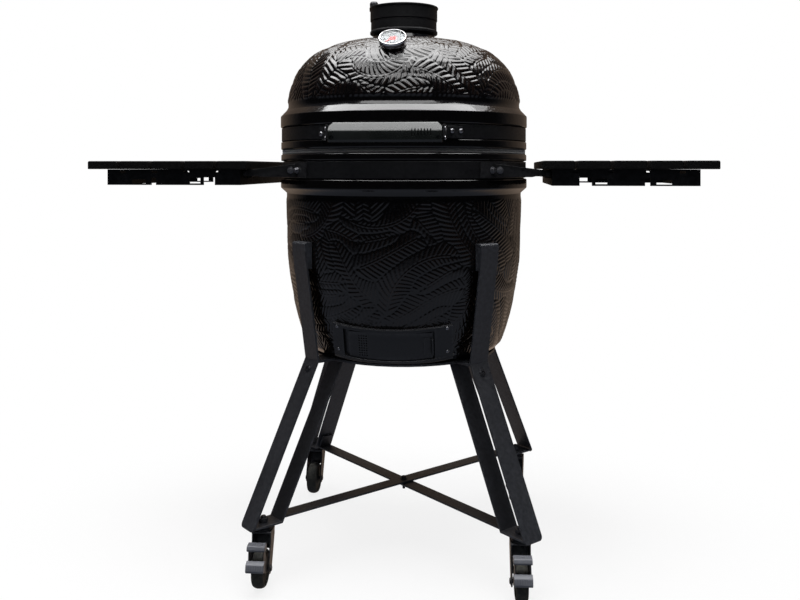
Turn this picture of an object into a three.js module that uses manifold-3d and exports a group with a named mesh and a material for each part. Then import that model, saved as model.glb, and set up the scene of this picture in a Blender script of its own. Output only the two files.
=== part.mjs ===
// Kamado ceramic grill on a four-legged caster stand, with two side tables.
// Millimetres, +Z up. Origin on the floor under the axis of the bowl.
// The front (handle, thermometer, draft door) faces -Y; left is -X.
// Azimuths are in degrees from the front (-Y) towards +X.
// A range is a pair [from, to].
import * as THREE from 'three';
import { mergeVertices } from 'three/addons/utils/BufferGeometryUtils.js';
import Module from 'manifold-3d';

const wasm = await Module();
wasm.setup();

// ---------------------------------------------------------------- shared dimensions
const SEGMENTS = 40;            // large turned pieces
const INNER_SEGMENTS = 24;      // turned pieces inside the bowl
const GAP = 0.4;                // clearance between resting pieces
const SIDES = [['left', -1], ['right', 1]];   // name, sign of x

const BOWL_BOTTOM = 430, BOWL_FLOOR = 458, BOWL_RIM = 857.5;
const GASKET_R = [247, 272], GASKET_T = 4.3, GASKET_GAP = 0.3;
const LID_RIM = BOWL_RIM + 2 * GASKET_T + 3 * GASKET_GAP;
const LID_TOP = 1127;

// legs and their casters; trail is the azimuth in which the caster trails
const LEGS = [
  { name: 'front_left', azimuth: -45, trail: 2 },
  { name: 'front_right', azimuth: 45, trail: 4 },
  { name: 'rear_left', azimuth: -135, trail: -2 },
  { name: 'rear_right', azimuth: 135, trail: -6 },
];
const CASTER_R = 360;           // radius of the caster stems from the bowl axis
const STEM_R = 5.5;

// ---------------------------------------------------------------- helpers
const rad = (degrees) => degrees * Math.PI / 180;
const vec = (x, y, z) => new THREE.Vector3(x, y, z);
const X_AXIS = vec(1, 0, 0), Y_AXIS = vec(0, 1, 0), Z_AXIS = vec(0, 0, 1);

const span = (middle, half) => [middle - half, middle + half];
const middle = ([from, to]) => (from + to) / 2;
const length = ([from, to]) => to - from;
const rect = ([x0, x1], [y0, y1]) => [[x0, y0], [x1, y0], [x1, y1], [x0, y1]];
// side is +1 to keep a range or an outline as it is, -1 to mirror it in x
const mirrorRange = ([from, to], side) => (side < 0 ? [-to, -from] : [from, to]);
function mirrorOutline(points, side) {
  const outline = points.map(([x, y]) => [side * x, y]);
  return side < 0 ? outline.reverse() : outline;
}

const radialDir = (azimuth) => vec(Math.sin(rad(azimuth)), -Math.cos(rad(azimuth)), 0);
function radialPoint(azimuth, r, z = 0) {
  const direction = radialDir(azimuth);
  return vec(r * direction.x, r * direction.y, z);
}

// closed BufferGeometry -> solid with outward faces
function solid(geometry) {
  for (const name of Object.keys(geometry.attributes)) {
    if (name !== 'position') geometry.deleteAttribute(name);
  }
  const merged = mergeVertices(geometry, 1e-4);
  const position = merged.attributes.position;
  const index = merged.index.array;
  const corner = (i) => new THREE.Vector3().fromBufferAttribute(position, i);
  const triangles = [];
  let volume = 0;
  for (let i = 0; i < index.length; i += 3) {
    const [a, b, c] = [index[i], index[i + 1], index[i + 2]];
    if (a === b || b === c || a === c) continue;
    triangles.push(a, b, c);
    volume += corner(a).dot(corner(b).cross(corner(c))) / 6;
  }
  if (volume < 0) {
    for (let i = 0; i < triangles.length; i += 3) {
      [triangles[i + 1], triangles[i + 2]] = [triangles[i + 2], triangles[i + 1]];
    }
  }
  return new wasm.Manifold(new wasm.Mesh({
    numProp: 3,
    vertProperties: new Float32Array(position.array),
    triVerts: new Uint32Array(triangles),
  }));
}

// outline in the plane of two axes, drawn out equally to both sides of the origin
function prism(points, depth, xAxis, yAxis, origin) {
  const shape = new THREE.Shape(points.map(([x, y]) => new THREE.Vector2(x, y)));
  const geometry = new THREE.ExtrudeGeometry(shape, { depth, bevelEnabled: false, steps: 1 });
  const zAxis = new THREE.Vector3().crossVectors(xAxis, yAxis);
  geometry.translate(0, 0, -depth / 2);
  geometry.applyMatrix4(new THREE.Matrix4().makeBasis(xAxis, yAxis, zAxis).setPosition(origin));
  return solid(geometry);
}
// outline in YZ, XZ or XY, over a range of the third axis
const prismX = (points, xs) => prism(points, length(xs), Y_AXIS, Z_AXIS, vec(middle(xs), 0, 0));
const prismY = (points, ys) => prism(points, length(ys), X_AXIS, Z_AXIS, vec(0, middle(ys), 0));
const prismZ = (points, zs) => prism(points, length(zs), X_AXIS, Y_AXIS, vec(0, 0, middle(zs)));
// outline in (radius, height), drawn out across the radial plane at an azimuth
const prismRadial = (points, width, azimuth) =>
  prism(points, width, radialDir(azimuth), Z_AXIS, vec(0, 0, 0));

function box(xs, ys, zs) {
  const geometry = new THREE.BoxGeometry(length(xs), length(ys), length(zs));
  geometry.translate(middle(xs), middle(ys), middle(zs));
  return solid(geometry);
}

// cylinder between two points
function rod(start, end, r, segments) {
  const along = end.clone().sub(start);
  const geometry = new THREE.CylinderGeometry(r, r, along.length(), segments);
  geometry.applyQuaternion(
    new THREE.Quaternion().setFromUnitVectors(Y_AXIS, along.clone().normalize()));
  const centre = start.clone().add(end).multiplyScalar(0.5);
  geometry.translate(centre.x, centre.y, centre.z);
  return solid(geometry);
}
const rodRadial = (azimuth, [r0, r1], z, r, segments) =>
  rod(radialPoint(azimuth, r0, z), radialPoint(azimuth, r1, z), r, segments);
function rodZ(x, y, zs, r, segments) {
  const geometry = new THREE.CylinderGeometry(r, r, length(zs), segments);
  geometry.rotateX(Math.PI / 2);
  geometry.translate(x, y, middle(zs));
  return solid(geometry);
}

// (radius, height) profile turned about Z; closed unless both ends lie on the axis
function turn(profile, segments = SEGMENTS) {
  const points = profile.map(([r, z]) => new THREE.Vector2(r, z));
  if (points[0].x !== 0 || points.at(-1).x !== 0) points.push(points[0].clone());
  const geometry = new THREE.LatheGeometry(points, segments);
  geometry.rotateX(Math.PI / 2);
  return solid(geometry);
}

// sector between two azimuths, for cutting turned rings to length
function wedge([from, to], zs) {
  const reach = 400;
  const points = [[0, 0]];
  const steps = Math.max(2, Math.ceil((to - from) / 30));
  for (let i = 0; i <= steps; i++) {
    const { x, y } = radialPoint(from + (to - from) * i / steps, reach);
    points.push([x, y]);
  }
  return prismZ(points, zs);
}

const union = (...solids) => solids.reduce((sum, next) => sum.add(next));
const place = (shape, matrix) => shape.transform(matrix.toArray());

const FINISH = {
  glaze: { color: 0x0b0908, roughness: 0.12, metalness: 0 },
  firebrick: { color: 0xb9a58a, roughness: 0.9, metalness: 0 },
  felt: { color: 0x1b1b1c, roughness: 1, metalness: 0 },
  black_steel: { color: 0x0d0d0e, roughness: 0.42, metalness: 0.6 },
  stand_coat: { color: 0x15161a, roughness: 0.5, metalness: 0.4 },
  iron: { color: 0x161616, roughness: 0.75, metalness: 0.7 },
  steel: { color: 0xb8babd, roughness: 0.3, metalness: 1 },
  chrome: { color: 0xd8d8da, roughness: 0.12, metalness: 1 },
  grip: { color: 0x2f3330, roughness: 0.38, metalness: 0.1 },
  slat: { color: 0x111112, roughness: 0.6, metalness: 0 },
  red: { color: 0xa01515, roughness: 0.5, metalness: 0 },
  glass: { color: 0xe8eef0, roughness: 0.05, metalness: 0, transparent: true, opacity: 0.35 },
  rubber: { color: 0x121212, roughness: 0.85, metalness: 0 },
  pedal: { color: 0xb9bdc6, roughness: 0.45, metalness: 0 },
};

const group = new THREE.Group();
group.name = 'kamado_grill';

function piece(name, shape, finish) {
  const { vertProperties, triVerts } = shape.getMesh();
  const geometry = new THREE.BufferGeometry();
  geometry.setAttribute('position',
    new THREE.BufferAttribute(new Float32Array(vertProperties), 3));
  geometry.setIndex(new THREE.BufferAttribute(new Uint32Array(triVerts), 1));
  geometry.computeVertexNormals();
  const mesh = new THREE.Mesh(geometry, new THREE.MeshStandardMaterial(FINISH[finish]));
  mesh.name = name;
  group.add(mesh);
}

// ---------------------------------------------------------------- ceramic shells
// profiles in (radius, height): outside upwards, then inside downwards
const BOWL_PROFILE = [
  [0, BOWL_BOTTOM], [196, BOWL_BOTTOM], [208, 436], [217, 446], [225.6, 467], [238.8, 512],
  [247, 556.5], [255.4, 610], [259.4, 668], [261.5, 774], [274.6, 785], [274.6, 803],
  [268.4, 805], [268.4, 842], [274, 843], [274, BOWL_RIM],
  [246, BOWL_RIM], [246, 806], [236, 780], [233.5, 700], [216, 530], [199, 474],
  [185, BOWL_FLOOR], [0, BOWL_FLOOR]];
const LID_PROFILE = [
  [274, LID_RIM], [274, 884], [268.4, 885], [268.4, 915], [275, 917], [275, 940],
  [263, 954], [258, 977], [251, 1007], [241.5, 1030], [225, 1055],
  [204, 1074], [172, 1091], [123.4, 1105], [71, 1113], [68, LID_TOP],
  [48.5, LID_TOP], [48.5, 1086], [110, 1081], [172, 1062], [212, 1032],
  [234, 980], [246, 925], [246, LID_RIM]];

// thermometer axis: elevation of the dial normal, and its point on the back plane of the case
const THERMO_ELEVATION = rad(49);
const THERMO_ORIGIN = vec(0, -201.3, 1082.8);
const THERMO_AXIS = vec(0, -Math.cos(THERMO_ELEVATION), Math.sin(THERMO_ELEVATION));

function bowl() {
  // opening in the front wall, just above the floor
  const draft = box(span(0, 60), [-260, -150], [461, 492]);
  return turn(BOWL_PROFILE).subtract(draft);
}

function lid() {
  const along = (distance) => THERMO_ORIGIN.clone().addScaledVector(THERMO_AXIS, distance);
  const thermometerHole = rod(along(-80), along(30), 5.5, 16);
  return turn(LID_PROFILE).subtract(thermometerHole);
}

const gasket = (z) => turn(rect(GASKET_R, [z, z + GASKET_T]));

piece('bowl', bowl(), 'glaze');
piece('bowl_gasket', gasket(BOWL_RIM + GASKET_GAP), 'felt');
piece('lid', lid(), 'glaze');
piece('lid_gasket', gasket(LID_RIM - GASKET_GAP - GASKET_T), 'felt');

// ---------------------------------------------------------------- firebox and grates
const FIREBOX_BOTTOM = BOWL_FLOOR + GAP, LEDGE_Z = 543, FIREBOX_TOP = 735;
const FIRE_RING_TOP = 828;
const FIREBOX_PROFILE = [   // (radius, height)
  [95, FIREBOX_BOTTOM], [150, FIREBOX_BOTTOM], [172, 474], [186, 512], [203, 570],
  [214, 640], [221, FIREBOX_TOP], [198, FIREBOX_TOP], [193, 640], [176, 562],
  [160, LEDGE_Z], [140, LEDGE_Z], [130, 505], [95, 480]];

function firebox() {
  const opening = box(span(0, 52), [-235, -60], [450, 497]);
  let shape = turn(FIREBOX_PROFILE, INNER_SEGMENTS).subtract(opening);
  const holes = 6, holeZ = 605, holeR = 9;
  for (let i = 0; i < holes; i++) {
    const azimuth = (i + 0.5) * 360 / holes;
    shape = shape.subtract(rodRadial(azimuth, [150, 250], holeZ, holeR, 8));
  }
  return shape;
}

function fireRing() {
  const bottom = FIREBOX_TOP + GAP;
  return turn([[200, bottom], [222, bottom], [228, FIRE_RING_TOP], [205, FIRE_RING_TOP]],
    INNER_SEGMENTS);
}

// disc with parallel slots, one on the centre line and slotsPerSide to each side. A slot ends
// endInset short of the circle slotR, measured chordOffset outside the centre line of the slot.
function grate({ z, thickness, r, slotsPerSide, pitch, slotHalf, slotR, chordOffset, endInset }) {
  let shape = rodZ(0, 0, [z, z + thickness], r, INNER_SEGMENTS);
  for (let i = -slotsPerSide; i <= slotsPerSide; i++) {
    const x = i * pitch;
    const halfLength = Math.sqrt(slotR ** 2 - (Math.abs(x) + chordOffset) ** 2) - endInset;
    const slot = box(span(x, slotHalf), span(0, halfLength), [z - 4, z + thickness + 4]);
    shape = shape.subtract(slot);
  }
  return shape;
}

piece('firebox', firebox(), 'firebrick');
piece('fire_ring', fireRing(), 'firebrick');
piece('charcoal_grate', grate({
  z: LEDGE_Z + GAP, thickness: 12, r: 152,
  slotsPerSide: 3, pitch: 36, slotHalf: 10, slotR: 134, chordOffset: 0, endInset: 4,
}), 'iron');
piece('cooking_grate', grate({
  z: FIRE_RING_TOP + GAP, thickness: 7, r: 226,
  slotsPerSide: 6, pitch: 31, slotHalf: 12, slotR: 212, chordOffset: 12, endInset: 2,
}), 'steel');

// ---------------------------------------------------------------- belts and lid hinge
const BELT_R = [268.9, 272.8];
const HINGE_Y = 318, HINGE_Z = 862, PIN_R = 5, PIN_BORE_R = 5.4, PIN_HALF = 58;

const hingeRod = ([x0, x1], r, segments) =>
  rod(vec(x0, HINGE_Y, HINGE_Z), vec(x1, HINGE_Y, HINGE_Z), r, segments);

// belt plate with an arm and round boss at each side, bored for the pin
function hingeLeaf({ plate, outline, armX, bossR, bossSegments }) {
  const arm = (xs) => union(prismX(outline, xs), hingeRod(xs, bossR, bossSegments));
  return union(plate, arm(mirrorRange(armX, -1)), arm(armX))
    .subtract(hingeRod(span(0, 80), PIN_BORE_R, 12));
}

function hingePin() {
  const headX = [52.5, PIN_HALF], headR = 9;
  return union(hingeRod(span(0, PIN_HALF), PIN_R, 12),
    hingeRod(mirrorRange(headX, -1), headR, 6), hingeRod(headX, headR, 6));
}

piece('upper_belt', turn(rect(BELT_R, [885.5, 914.5])), 'black_steel');
piece('lower_belt', turn(rect(BELT_R, [806.5, 841])), 'black_steel');
piece('hinge_lower', hingeLeaf({
  plate: box(span(0, 60), [273.4, 278], [808, 840]),
  outline: [[274, 808], [HINGE_Y + 6, 846], [HINGE_Y + 6, HINGE_Z],
    [HINGE_Y - 16, HINGE_Z], [274, 839]],
  armX: [47, 52], bossR: 17, bossSegments: 20,
}), 'black_steel');
// its arms lie between those of the lower leaf
piece('hinge_upper', hingeLeaf({
  plate: box(span(0, 45), [273.4, 277.6], [887, 913]),
  outline: [[274, 887], [HINGE_Y - 6, 851.5], [HINGE_Y + 9, 870], [290, 908], [274, 913]],
  armX: [37, 42], bossR: 13, bossSegments: 16,
}), 'black_steel');
piece('hinge_pin', hingePin(), 'steel');

// ---------------------------------------------------------------- lid handle
const GRIP_HALF = 109;
const GRIP_FRONT = -335, GRIP_BACK = -313, GRIP_BOTTOM = 876, GRIP_TOP = 915;

function handleGrip() {
  return prismX([[GRIP_BACK, GRIP_BOTTOM], [GRIP_BACK, GRIP_TOP], [GRIP_FRONT + 13, GRIP_TOP],
    [GRIP_FRONT, GRIP_TOP - 17], [GRIP_FRONT, GRIP_BOTTOM + 13],
    [GRIP_FRONT + 3, GRIP_BOTTOM + 5], [GRIP_FRONT + 10, GRIP_BOTTOM]], span(0, GRIP_HALF));
}

// arm beside one end of the grip, bent out along the belt behind it
function handleBracket(side) {
  const inside = GRIP_HALF + 0.5, outside = inside + 4, front = -330;
  const bend = radialPoint(24.2, 274.6);
  const tipInner = radialPoint(31, 274.4), tipOuter = radialPoint(31, 278.4);
  const outline = [[inside, front], [outside, front], [outside, -254],
    [tipOuter.x, tipOuter.y], [tipInner.x, tipInner.y], [bend.x, bend.y], [inside, bend.y - 1]];
  return prismZ(mirrorOutline(outline, side), [886, 910]);
}

piece('handle_grip', handleGrip(), 'grip');
for (const [name, side] of SIDES) {
  piece(`handle_bracket_${name}`, handleBracket(side), 'black_steel');
}

// ---------------------------------------------------------------- thermometer
// modelled along +Z with the back plane of the case at z = 0
const THERMO_R = 29.3;
const THERMO_PROFILE = [    // (radius, height)
  [0, -60], [4, -57], [4, -3], [9, -3], [9, 0], [27.3, 0], [THERMO_R, 2],
  [THERMO_R, 12.5], [27.8, 14], [25.8, 14], [25.8, 9], [0, 9]];
const thermoMatrix = new THREE.Matrix4()
  .makeRotationFromQuaternion(new THREE.Quaternion().setFromUnitVectors(Z_AXIS, THERMO_AXIS))
  .setPosition(THERMO_ORIGIN);

// needle over the dial, pointing to the lower left
function thermometerPointer() {
  const needle = union(rodZ(0, 0, [9.5, 11.1], 3.4, 10),
    prismZ([[-1.6, -6], [1.6, -6], [0.5, 20.5], [-0.5, 20.5]], [9.6, 10.6]));
  return place(needle, new THREE.Matrix4().makeRotationZ(rad(135)));
}

piece('thermometer_case', place(turn(THERMO_PROFILE, 24), thermoMatrix), 'chrome');
piece('thermometer_pointer', place(thermometerPointer(), thermoMatrix), 'red');
piece('thermometer_lens', place(rodZ(0, 0, [11.6, 13.2], 25.4, 24), thermoMatrix), 'glass');

// ---------------------------------------------------------------- cast top
const CAP_BOTTOM = LID_TOP + GAP, COLLAR_TOP = 1156.2, COLLAR_R = 74;
const CAP_LID_BOTTOM = COLLAR_TOP + GAP, CAP_LID_TOP = 1188;
const CAP_WALL_R = 75.5, CAP_LIP_R = 77.5, CAP_SEGMENTS = 28;
const DAISY_BOTTOM = CAP_LID_TOP + GAP, DAISY_TOP = 1192.4, DAISY_R = 50;
const DAISY_HOLES = 6, DAISY_HOLE_R = 9, DAISY_PITCH_R = 34;
const PIVOT_X = -68, PIVOT_R = 4, PIVOT_BORE_R = 4.4;

const pivotBore = (zs) => rodZ(PIVOT_X, 0, zs, PIVOT_BORE_R, 10);

// ring of holes; phase is in hole pitches from the front
function daisyHoles(shape, phase) {
  for (let i = 0; i < DAISY_HOLES; i++) {
    const { x, y } = radialPoint((i + phase) * 360 / DAISY_HOLES, DAISY_PITCH_R);
    shape = shape.subtract(rodZ(x, y, [1160, 1200], DAISY_HOLE_R, 8));
  }
  return shape;
}

function capBase() {
  return turn([[50, CAP_BOTTOM], [76, CAP_BOTTOM], [76, 1133], [COLLAR_R, 1135],
    [COLLAR_R, COLLAR_TOP], [56, COLLAR_TOP], [56, 1136], [50, 1133]], CAP_SEGMENTS)
    .subtract(pivotBore([1142, 1180]));
}

// deep lid with a thin lip, and a column and lobe around the pivot
function capLid() {
  const wallTop = 1183, ceiling = 1181, wallInner = 66;
  const cover = turn([[wallInner, CAP_LID_BOTTOM], [CAP_WALL_R, CAP_LID_BOTTOM],
    [CAP_WALL_R, wallTop], [CAP_LIP_R, 1184.5], [CAP_LIP_R, CAP_LID_TOP],
    [0, CAP_LID_TOP], [0, ceiling], [wallInner, ceiling]], CAP_SEGMENTS);
  const column = rodZ(PIVOT_X, 0, [CAP_LID_BOTTOM, wallTop], 9, 16)
    .intersect(rodZ(0, 0, [1150, 1190], CAP_WALL_R, CAP_SEGMENTS));
  const lobe = rodZ(PIVOT_X, 0, [1182, 1190.6], 10, 16);
  const centrePin = rodZ(0, 0, [1187, 1193.5], 3, 8);
  const shape = union(cover, column, lobe, centrePin).subtract(pivotBore([1150, 1200]));
  return daisyHoles(shape, 0);
}

// disc with a bar across the middle, its holes midway between those of the lid
function capDaisy() {
  const disc = turn([[0, DAISY_BOTTOM], [DAISY_R, DAISY_BOTTOM], [DAISY_R, DAISY_TOP - 1],
    [DAISY_R - 1, DAISY_TOP], [0, DAISY_TOP]], 24);
  const bar = prismZ(rect(span(0, 4), span(0, 19)), [1192, 1197]);
  return daisyHoles(union(disc, bar).subtract(rodZ(0, 0, [1180, 1194], 3.4, 8)), 0.5);
}

function capPivot() {
  const knob = turn([[0, 1191], [9.4, 1191], [9.4, 1200], [7.4, 1204], [0, 1204]], 20);
  return union(rodZ(PIVOT_X, 0, [1143, 1192], PIVOT_R, 10), knob.translate([PIVOT_X, 0, 0]));
}

piece('cap_base', capBase(), 'iron');
piece('cap_lid', capLid(), 'iron');
piece('cap_daisy', capDaisy(), 'iron');
piece('cap_pivot', capPivot(), 'steel');

// ---------------------------------------------------------------- draft vent
const VENT_WALL = [         // (radius, height) of the wall behind the vent
  [211.4, 436.5], [218.9, 446], [227.4, 467], [234.4, 489.5], [239.4, 507]];
const VENT_BOTTOM = VENT_WALL[0][1], VENT_TOP = VENT_WALL.at(-1)[1];
const VENT_HALF = 31, VENT_END = 28.6, WINDOW_HALF = 17;    // azimuths
const DOOR_FROM = -22, DOOR_TO = 20.6;                      // azimuths
// offsets from the wall
const SKIN = [0, 2], RAIL = [0.5, 7.6], LIP = [5.8, 7.6], DOOR = [3, 4.9];

function wallRadius(z) {
  const i = VENT_WALL.findIndex(([, top], k) => k > 0 && z <= top);
  const [r0, z0] = VENT_WALL[i - 1];
  const [r1, z1] = VENT_WALL[i];
  return r0 + (r1 - r0) * (z - z0) / (z1 - z0);
}

// ring that follows the sloping wall between two heights, between two offsets from it
function wallRing([z0, z1], [inner, outer]) {
  const between = VENT_WALL.map(([, z]) => z).filter((z) => z > z0 + 0.1 && z < z1 - 0.1);
  const heights = [z0, ...between, z1];
  return turn([...heights.map((z) => [wallRadius(z) + outer, z]),
    ...heights.reverse().map((z) => [wallRadius(z) + inner, z])]);
}
const ventWedge = (from, to) => wedge([from, to], [400, 540]);

function ventFrame() {
  const channel = union(
    wallRing([VENT_BOTTOM, VENT_TOP], SKIN),
    wallRing([VENT_BOTTOM, VENT_BOTTOM + 6], RAIL),
    wallRing([VENT_TOP - 5.5, VENT_TOP], RAIL),
    wallRing([VENT_BOTTOM + 5, VENT_BOTTOM + 10], LIP),
    wallRing([VENT_TOP - 10, VENT_TOP - 5], LIP)).intersect(ventWedge(-VENT_HALF, VENT_HALF));
  const endWedges = union(ventWedge(-VENT_HALF, -VENT_END), ventWedge(VENT_END, VENT_HALF));
  const ends = wallRing([VENT_BOTTOM, VENT_TOP], RAIL).intersect(endWedges);
  // cover from the right end in to the edge of the shut door
  const cover = wallRing([VENT_BOTTOM + 5, VENT_TOP - 5], LIP)
    .intersect(ventWedge(DOOR_TO + 0.8, VENT_HALF));
  return union(channel, ends, cover).subtract(wedge(span(0, WINDOW_HALF), [453, 494]));
}

// curved door in the channel, with a finger tab at its right edge
// and a patch of holes near its left edge
function ventDoor() {
  const leaf = wallRing([VENT_BOTTOM + 6.6, VENT_TOP - 6.1], DOOR)
    .intersect(ventWedge(DOOR_FROM, DOOR_TO));
  const tab = wallRing([458, 490], [3.2, 13]).intersect(ventWedge(DOOR_TO - 0.7, DOOR_TO));
  let door = union(leaf, tab);
  const columns = { count: 2, first: -15.9, pitch: 2.4 };   // azimuths
  const rows = { count: 5, first: 454.5, pitch: 8.8 };      // heights
  for (let i = 0; i < columns.count; i++) {
    for (let j = 0; j < rows.count; j++) {
      const azimuth = columns.first + columns.pitch * i;
      const z = rows.first + rows.pitch * j;
      door = door.subtract(rodRadial(azimuth, [200, 260], z, 3, 4));
    }
  }
  return door;
}

piece('vent_frame', ventFrame(), 'black_steel');
piece('vent_door', ventDoor(), 'black_steel');

// ---------------------------------------------------------------- side tables
// x is given for the right table and mirrored for the left
const TABLE_X0 = 299, SLATS = 5, SLAT_W = 63, SLAT_PITCH = SLAT_W + 6, SLAT_LENGTH = 450;
const SLAT_Z = [825, 842], SLAT_EASE = 2;
const FRAME_X = [319, 606], FRAME_HALF_Y = 200, FRAME_Z = [792, SLAT_Z[0] - GAP];
const SHEET = 2.5, FRAME_LEDGE = 24;
const FRAME_CUTOUTS = [     // distance from the inner edge of the frame, height
  [[54, 78], [780, 808]], [[85, 108], [795.5, 806.5]],
  [[181, 191], [780, 807]], [[203, 233], [795, 803.5]]];
const ROD_X = 312, ROD_Z = 815, ROD_R = 4, EAR_BORE_R = 4.4, EAR_Y = 150;
const BRACKET_AZIMUTH = 48, ARM_Y = 183;

// slat running from front to back, edges eased
function tableSlat(i, side) {
  const x = TABLE_X0 + i * SLAT_PITCH;
  const [x0, x1] = mirrorRange([x, x + SLAT_W], side);
  const [z0, z1] = SLAT_Z;
  const ease = SLAT_EASE;
  return prismY([[x0 + ease, z0], [x1 - ease, z0], [x1, z0 + ease], [x1, z1 - ease],
    [x1 - ease, z1], [x0 + ease, z1], [x0, z1 - ease], [x0, z0 + ease]],
  span(0, SLAT_LENGTH / 2));
}

// sheet-metal frame under the slats, cut out at front and back,
// with two ears that turn on the rod of the bracket
function tableFrame(side) {
  const [x0, x1] = mirrorRange(FRAME_X, side);
  const [z0, z1] = FRAME_Z;
  let frame = box([x0, x1], span(0, FRAME_HALF_Y), FRAME_Z)
    .subtract(box([x0 + SHEET, x1 - SHEET], span(0, FRAME_HALF_Y - SHEET), [z0 - 5, z1 - SHEET]))
    .subtract(box([x0 + FRAME_LEDGE, x1 - FRAME_LEDGE], span(0, FRAME_HALF_Y - FRAME_LEDGE),
      [z0, z1 + 5]));
  const wallY = [FRAME_HALF_Y - 10, FRAME_HALF_Y + 5];
  for (const [[from, to], zs] of FRAME_CUTOUTS) {
    const xs = mirrorRange([FRAME_X[0] + from, FRAME_X[0] + to], side);
    frame = frame.subtract(box(xs, [-wallY[1], -wallY[0]], zs)).subtract(box(xs, wallY, zs));
  }
  const ear = mirrorOutline([[ROD_X - 7.5, ROD_Z - 4], [ROD_X - 4, ROD_Z - 7.5],
    [FRAME_X[0] + 6, ROD_Z - 9], [FRAME_X[0] + 6, z1],
    [ROD_X - 4, ROD_Z + 7.5], [ROD_X - 7.5, ROD_Z + 4]], side);
  for (const y of [-EAR_Y, EAR_Y]) frame = union(frame, prismY(ear, span(y, 2.5)));
  const x = side * ROD_X;
  const bore = rod(vec(x, -230, ROD_Z), vec(x, 230, ROD_Z), EAR_BORE_R, 10)
    .intersect(box(span(x, 5), span(0, EAR_Y + 10), [800, 830]));
  return frame.subtract(bore);
}

// two curved plates on the belt, an arm from each, and the hinge rod between the arms
function tableBracket(side) {
  const x = side * ROD_X, rodEnd = ARM_Y + 4;
  let bracket = rod(vec(x, -rodEnd, ROD_Z), vec(x, rodEnd, ROD_Z), ROD_R, 10);
  const arm = mirrorOutline([[205.5, 809], [280, 809], [288, 810.6], [317.5, 810.6],
    [317.5, 820], [300, 824], [205.5, 836]], side);
  for (const [azimuth, y] of [[BRACKET_AZIMUTH, -ARM_Y], [180 - BRACKET_AZIMUTH, ARM_Y]]) {
    const plate = turn(rect([273.6, 277.6], [808, 838]))
      .intersect(wedge(span(side * azimuth, 8), [700, 900]));
    bracket = union(bracket, plate, prismY(arm, span(y, 2)));
  }
  return bracket;
}

for (const [name, side] of SIDES) {
  for (let i = 0; i < SLATS; i++) {
    piece(`table_${name}_slat_${i + 1}`, tableSlat(i, side), 'slat');
  }
  piece(`table_${name}_frame`, tableFrame(side), 'stand_coat');
  piece(`table_${name}_bracket`, tableBracket(side), 'black_steel');
}

// ---------------------------------------------------------------- stand
const RING_Z = [424.2, 429.7];
const STRAP_W = 48, BAR_W = 46, BRACE_W = 32, BRACE_T = 4;
const PLATE_Z0 = 116, PLATE_Z1 = 120;
// (radius, height): pad against the bowl, down to the waist, then out to the foot
const STRAP_OUTLINE = [
  [260.4, 675], [260.4, 621], [269.2, 621], [242.07, 429.36], [394.9, 111.8],
  [398.5, 113.5], [246.2, 430], [278, 655], [278, 672], [275, 675]];
// (radius, height): flange under the base ring, down beside the strap, flat foot plate
const BAR_OUTLINE = [
  [150, 419.8], [180.6, 419.8], [328.5, PLATE_Z0], [389.9, PLATE_Z0],
  [389.9, PLATE_Z1], [331, PLATE_Z1], [183.1, 423.9], [150, 423.9]];

function baseRing() {
  let ring = turn(rect([120, 205], RING_Z));
  for (const { azimuth } of LEGS) {
    ring = union(ring, prismRadial(rect([190, 241.6], RING_Z), 44, azimuth));
  }
  return ring;
}

const outerStrap = (azimuth) => prismRadial(STRAP_OUTLINE, STRAP_W, azimuth)
  .subtract(rodRadial(azimuth, [200, 300], 411.5, 6, 10));

function innerBar(azimuth) {
  const { x, y } = radialPoint(azimuth, CASTER_R);
  return prismRadial(BAR_OUTLINE, BAR_W, azimuth)
    .subtract(rodZ(x, y, [100, 130], STEM_R + 0.8, 12));
}

// brace between opposite feet, ends turned up against the inner bars
function brace(azimuth, z0) {
  const top = 150, z1 = z0 + BRACE_T;
  const reach = (atRefZ, z) => atRefZ - (z - 122) * 0.4867;   // follows the slope of the bars
  const outer = (z) => reach(324.2, z);
  const inner = (z) => reach(319.8, z);
  return prismRadial([[-outer(z0), z0], [outer(z0), z0], [outer(top), top], [inner(top), top],
    [inner(z1), z1], [-inner(z1), z1], [-inner(top), top], [-outer(top), top]],
  BRACE_W, azimuth);
}

piece('base_ring', baseRing(), 'stand_coat');
for (const { name, azimuth } of LEGS) {
  piece(`leg_outer_${name}`, outerStrap(azimuth), 'stand_coat');
  piece(`leg_inner_${name}`, innerBar(azimuth), 'stand_coat');
}
piece('brace_upper', brace(135, 122.3), 'stand_coat');
piece('brace_lower', brace(45, 117.9), 'stand_coat');

// ---------------------------------------------------------------- casters
const WHEEL_R = 37.5, WHEEL_HALF = 12, TRAIL = 22, AXLE_R = 4, AXLE_BORE_R = AXLE_R + 0.6;

// placing tools of one caster, in (trail, across, height) from its stem
function casterFrame({ azimuth, trail }) {
  const stem = radialPoint(azimuth, CASTER_R);
  const back = radialDir(trail);
  const across = vec(-back.y, back.x, 0);
  const at = (u, w, z) =>
    vec(stem.x + back.x * u + across.x * w, stem.y + back.y * u + across.y * w, z);
  // outline in (trail, height), drawn out over a range measured against the across direction
  const slab = (points, range) =>
    prism(points, length(range), back, Z_AXIS, at(0, -middle(range), 0));
  const pair = (points, [from, to]) =>
    union(slab(points, [from, to]), slab(points, [-to, -from]));
  const axle = (half, r) => rod(at(TRAIL, -half, WHEEL_R), at(TRAIL, half, WHEEL_R), r, 8);
  return { stem, back, at, slab, pair, axle };
}

// points round the axle in (trail, height), angles in degrees
function axleArc(r, from, to) {
  const steps = 4;
  return Array.from({ length: steps + 1 }, (_, i) => {
    const angle = rad(from) + (rad(to) - rad(from)) * i / steps;
    return [TRAIL + r * Math.cos(angle), WHEEL_R + r * Math.sin(angle)];
  });
}

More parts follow.
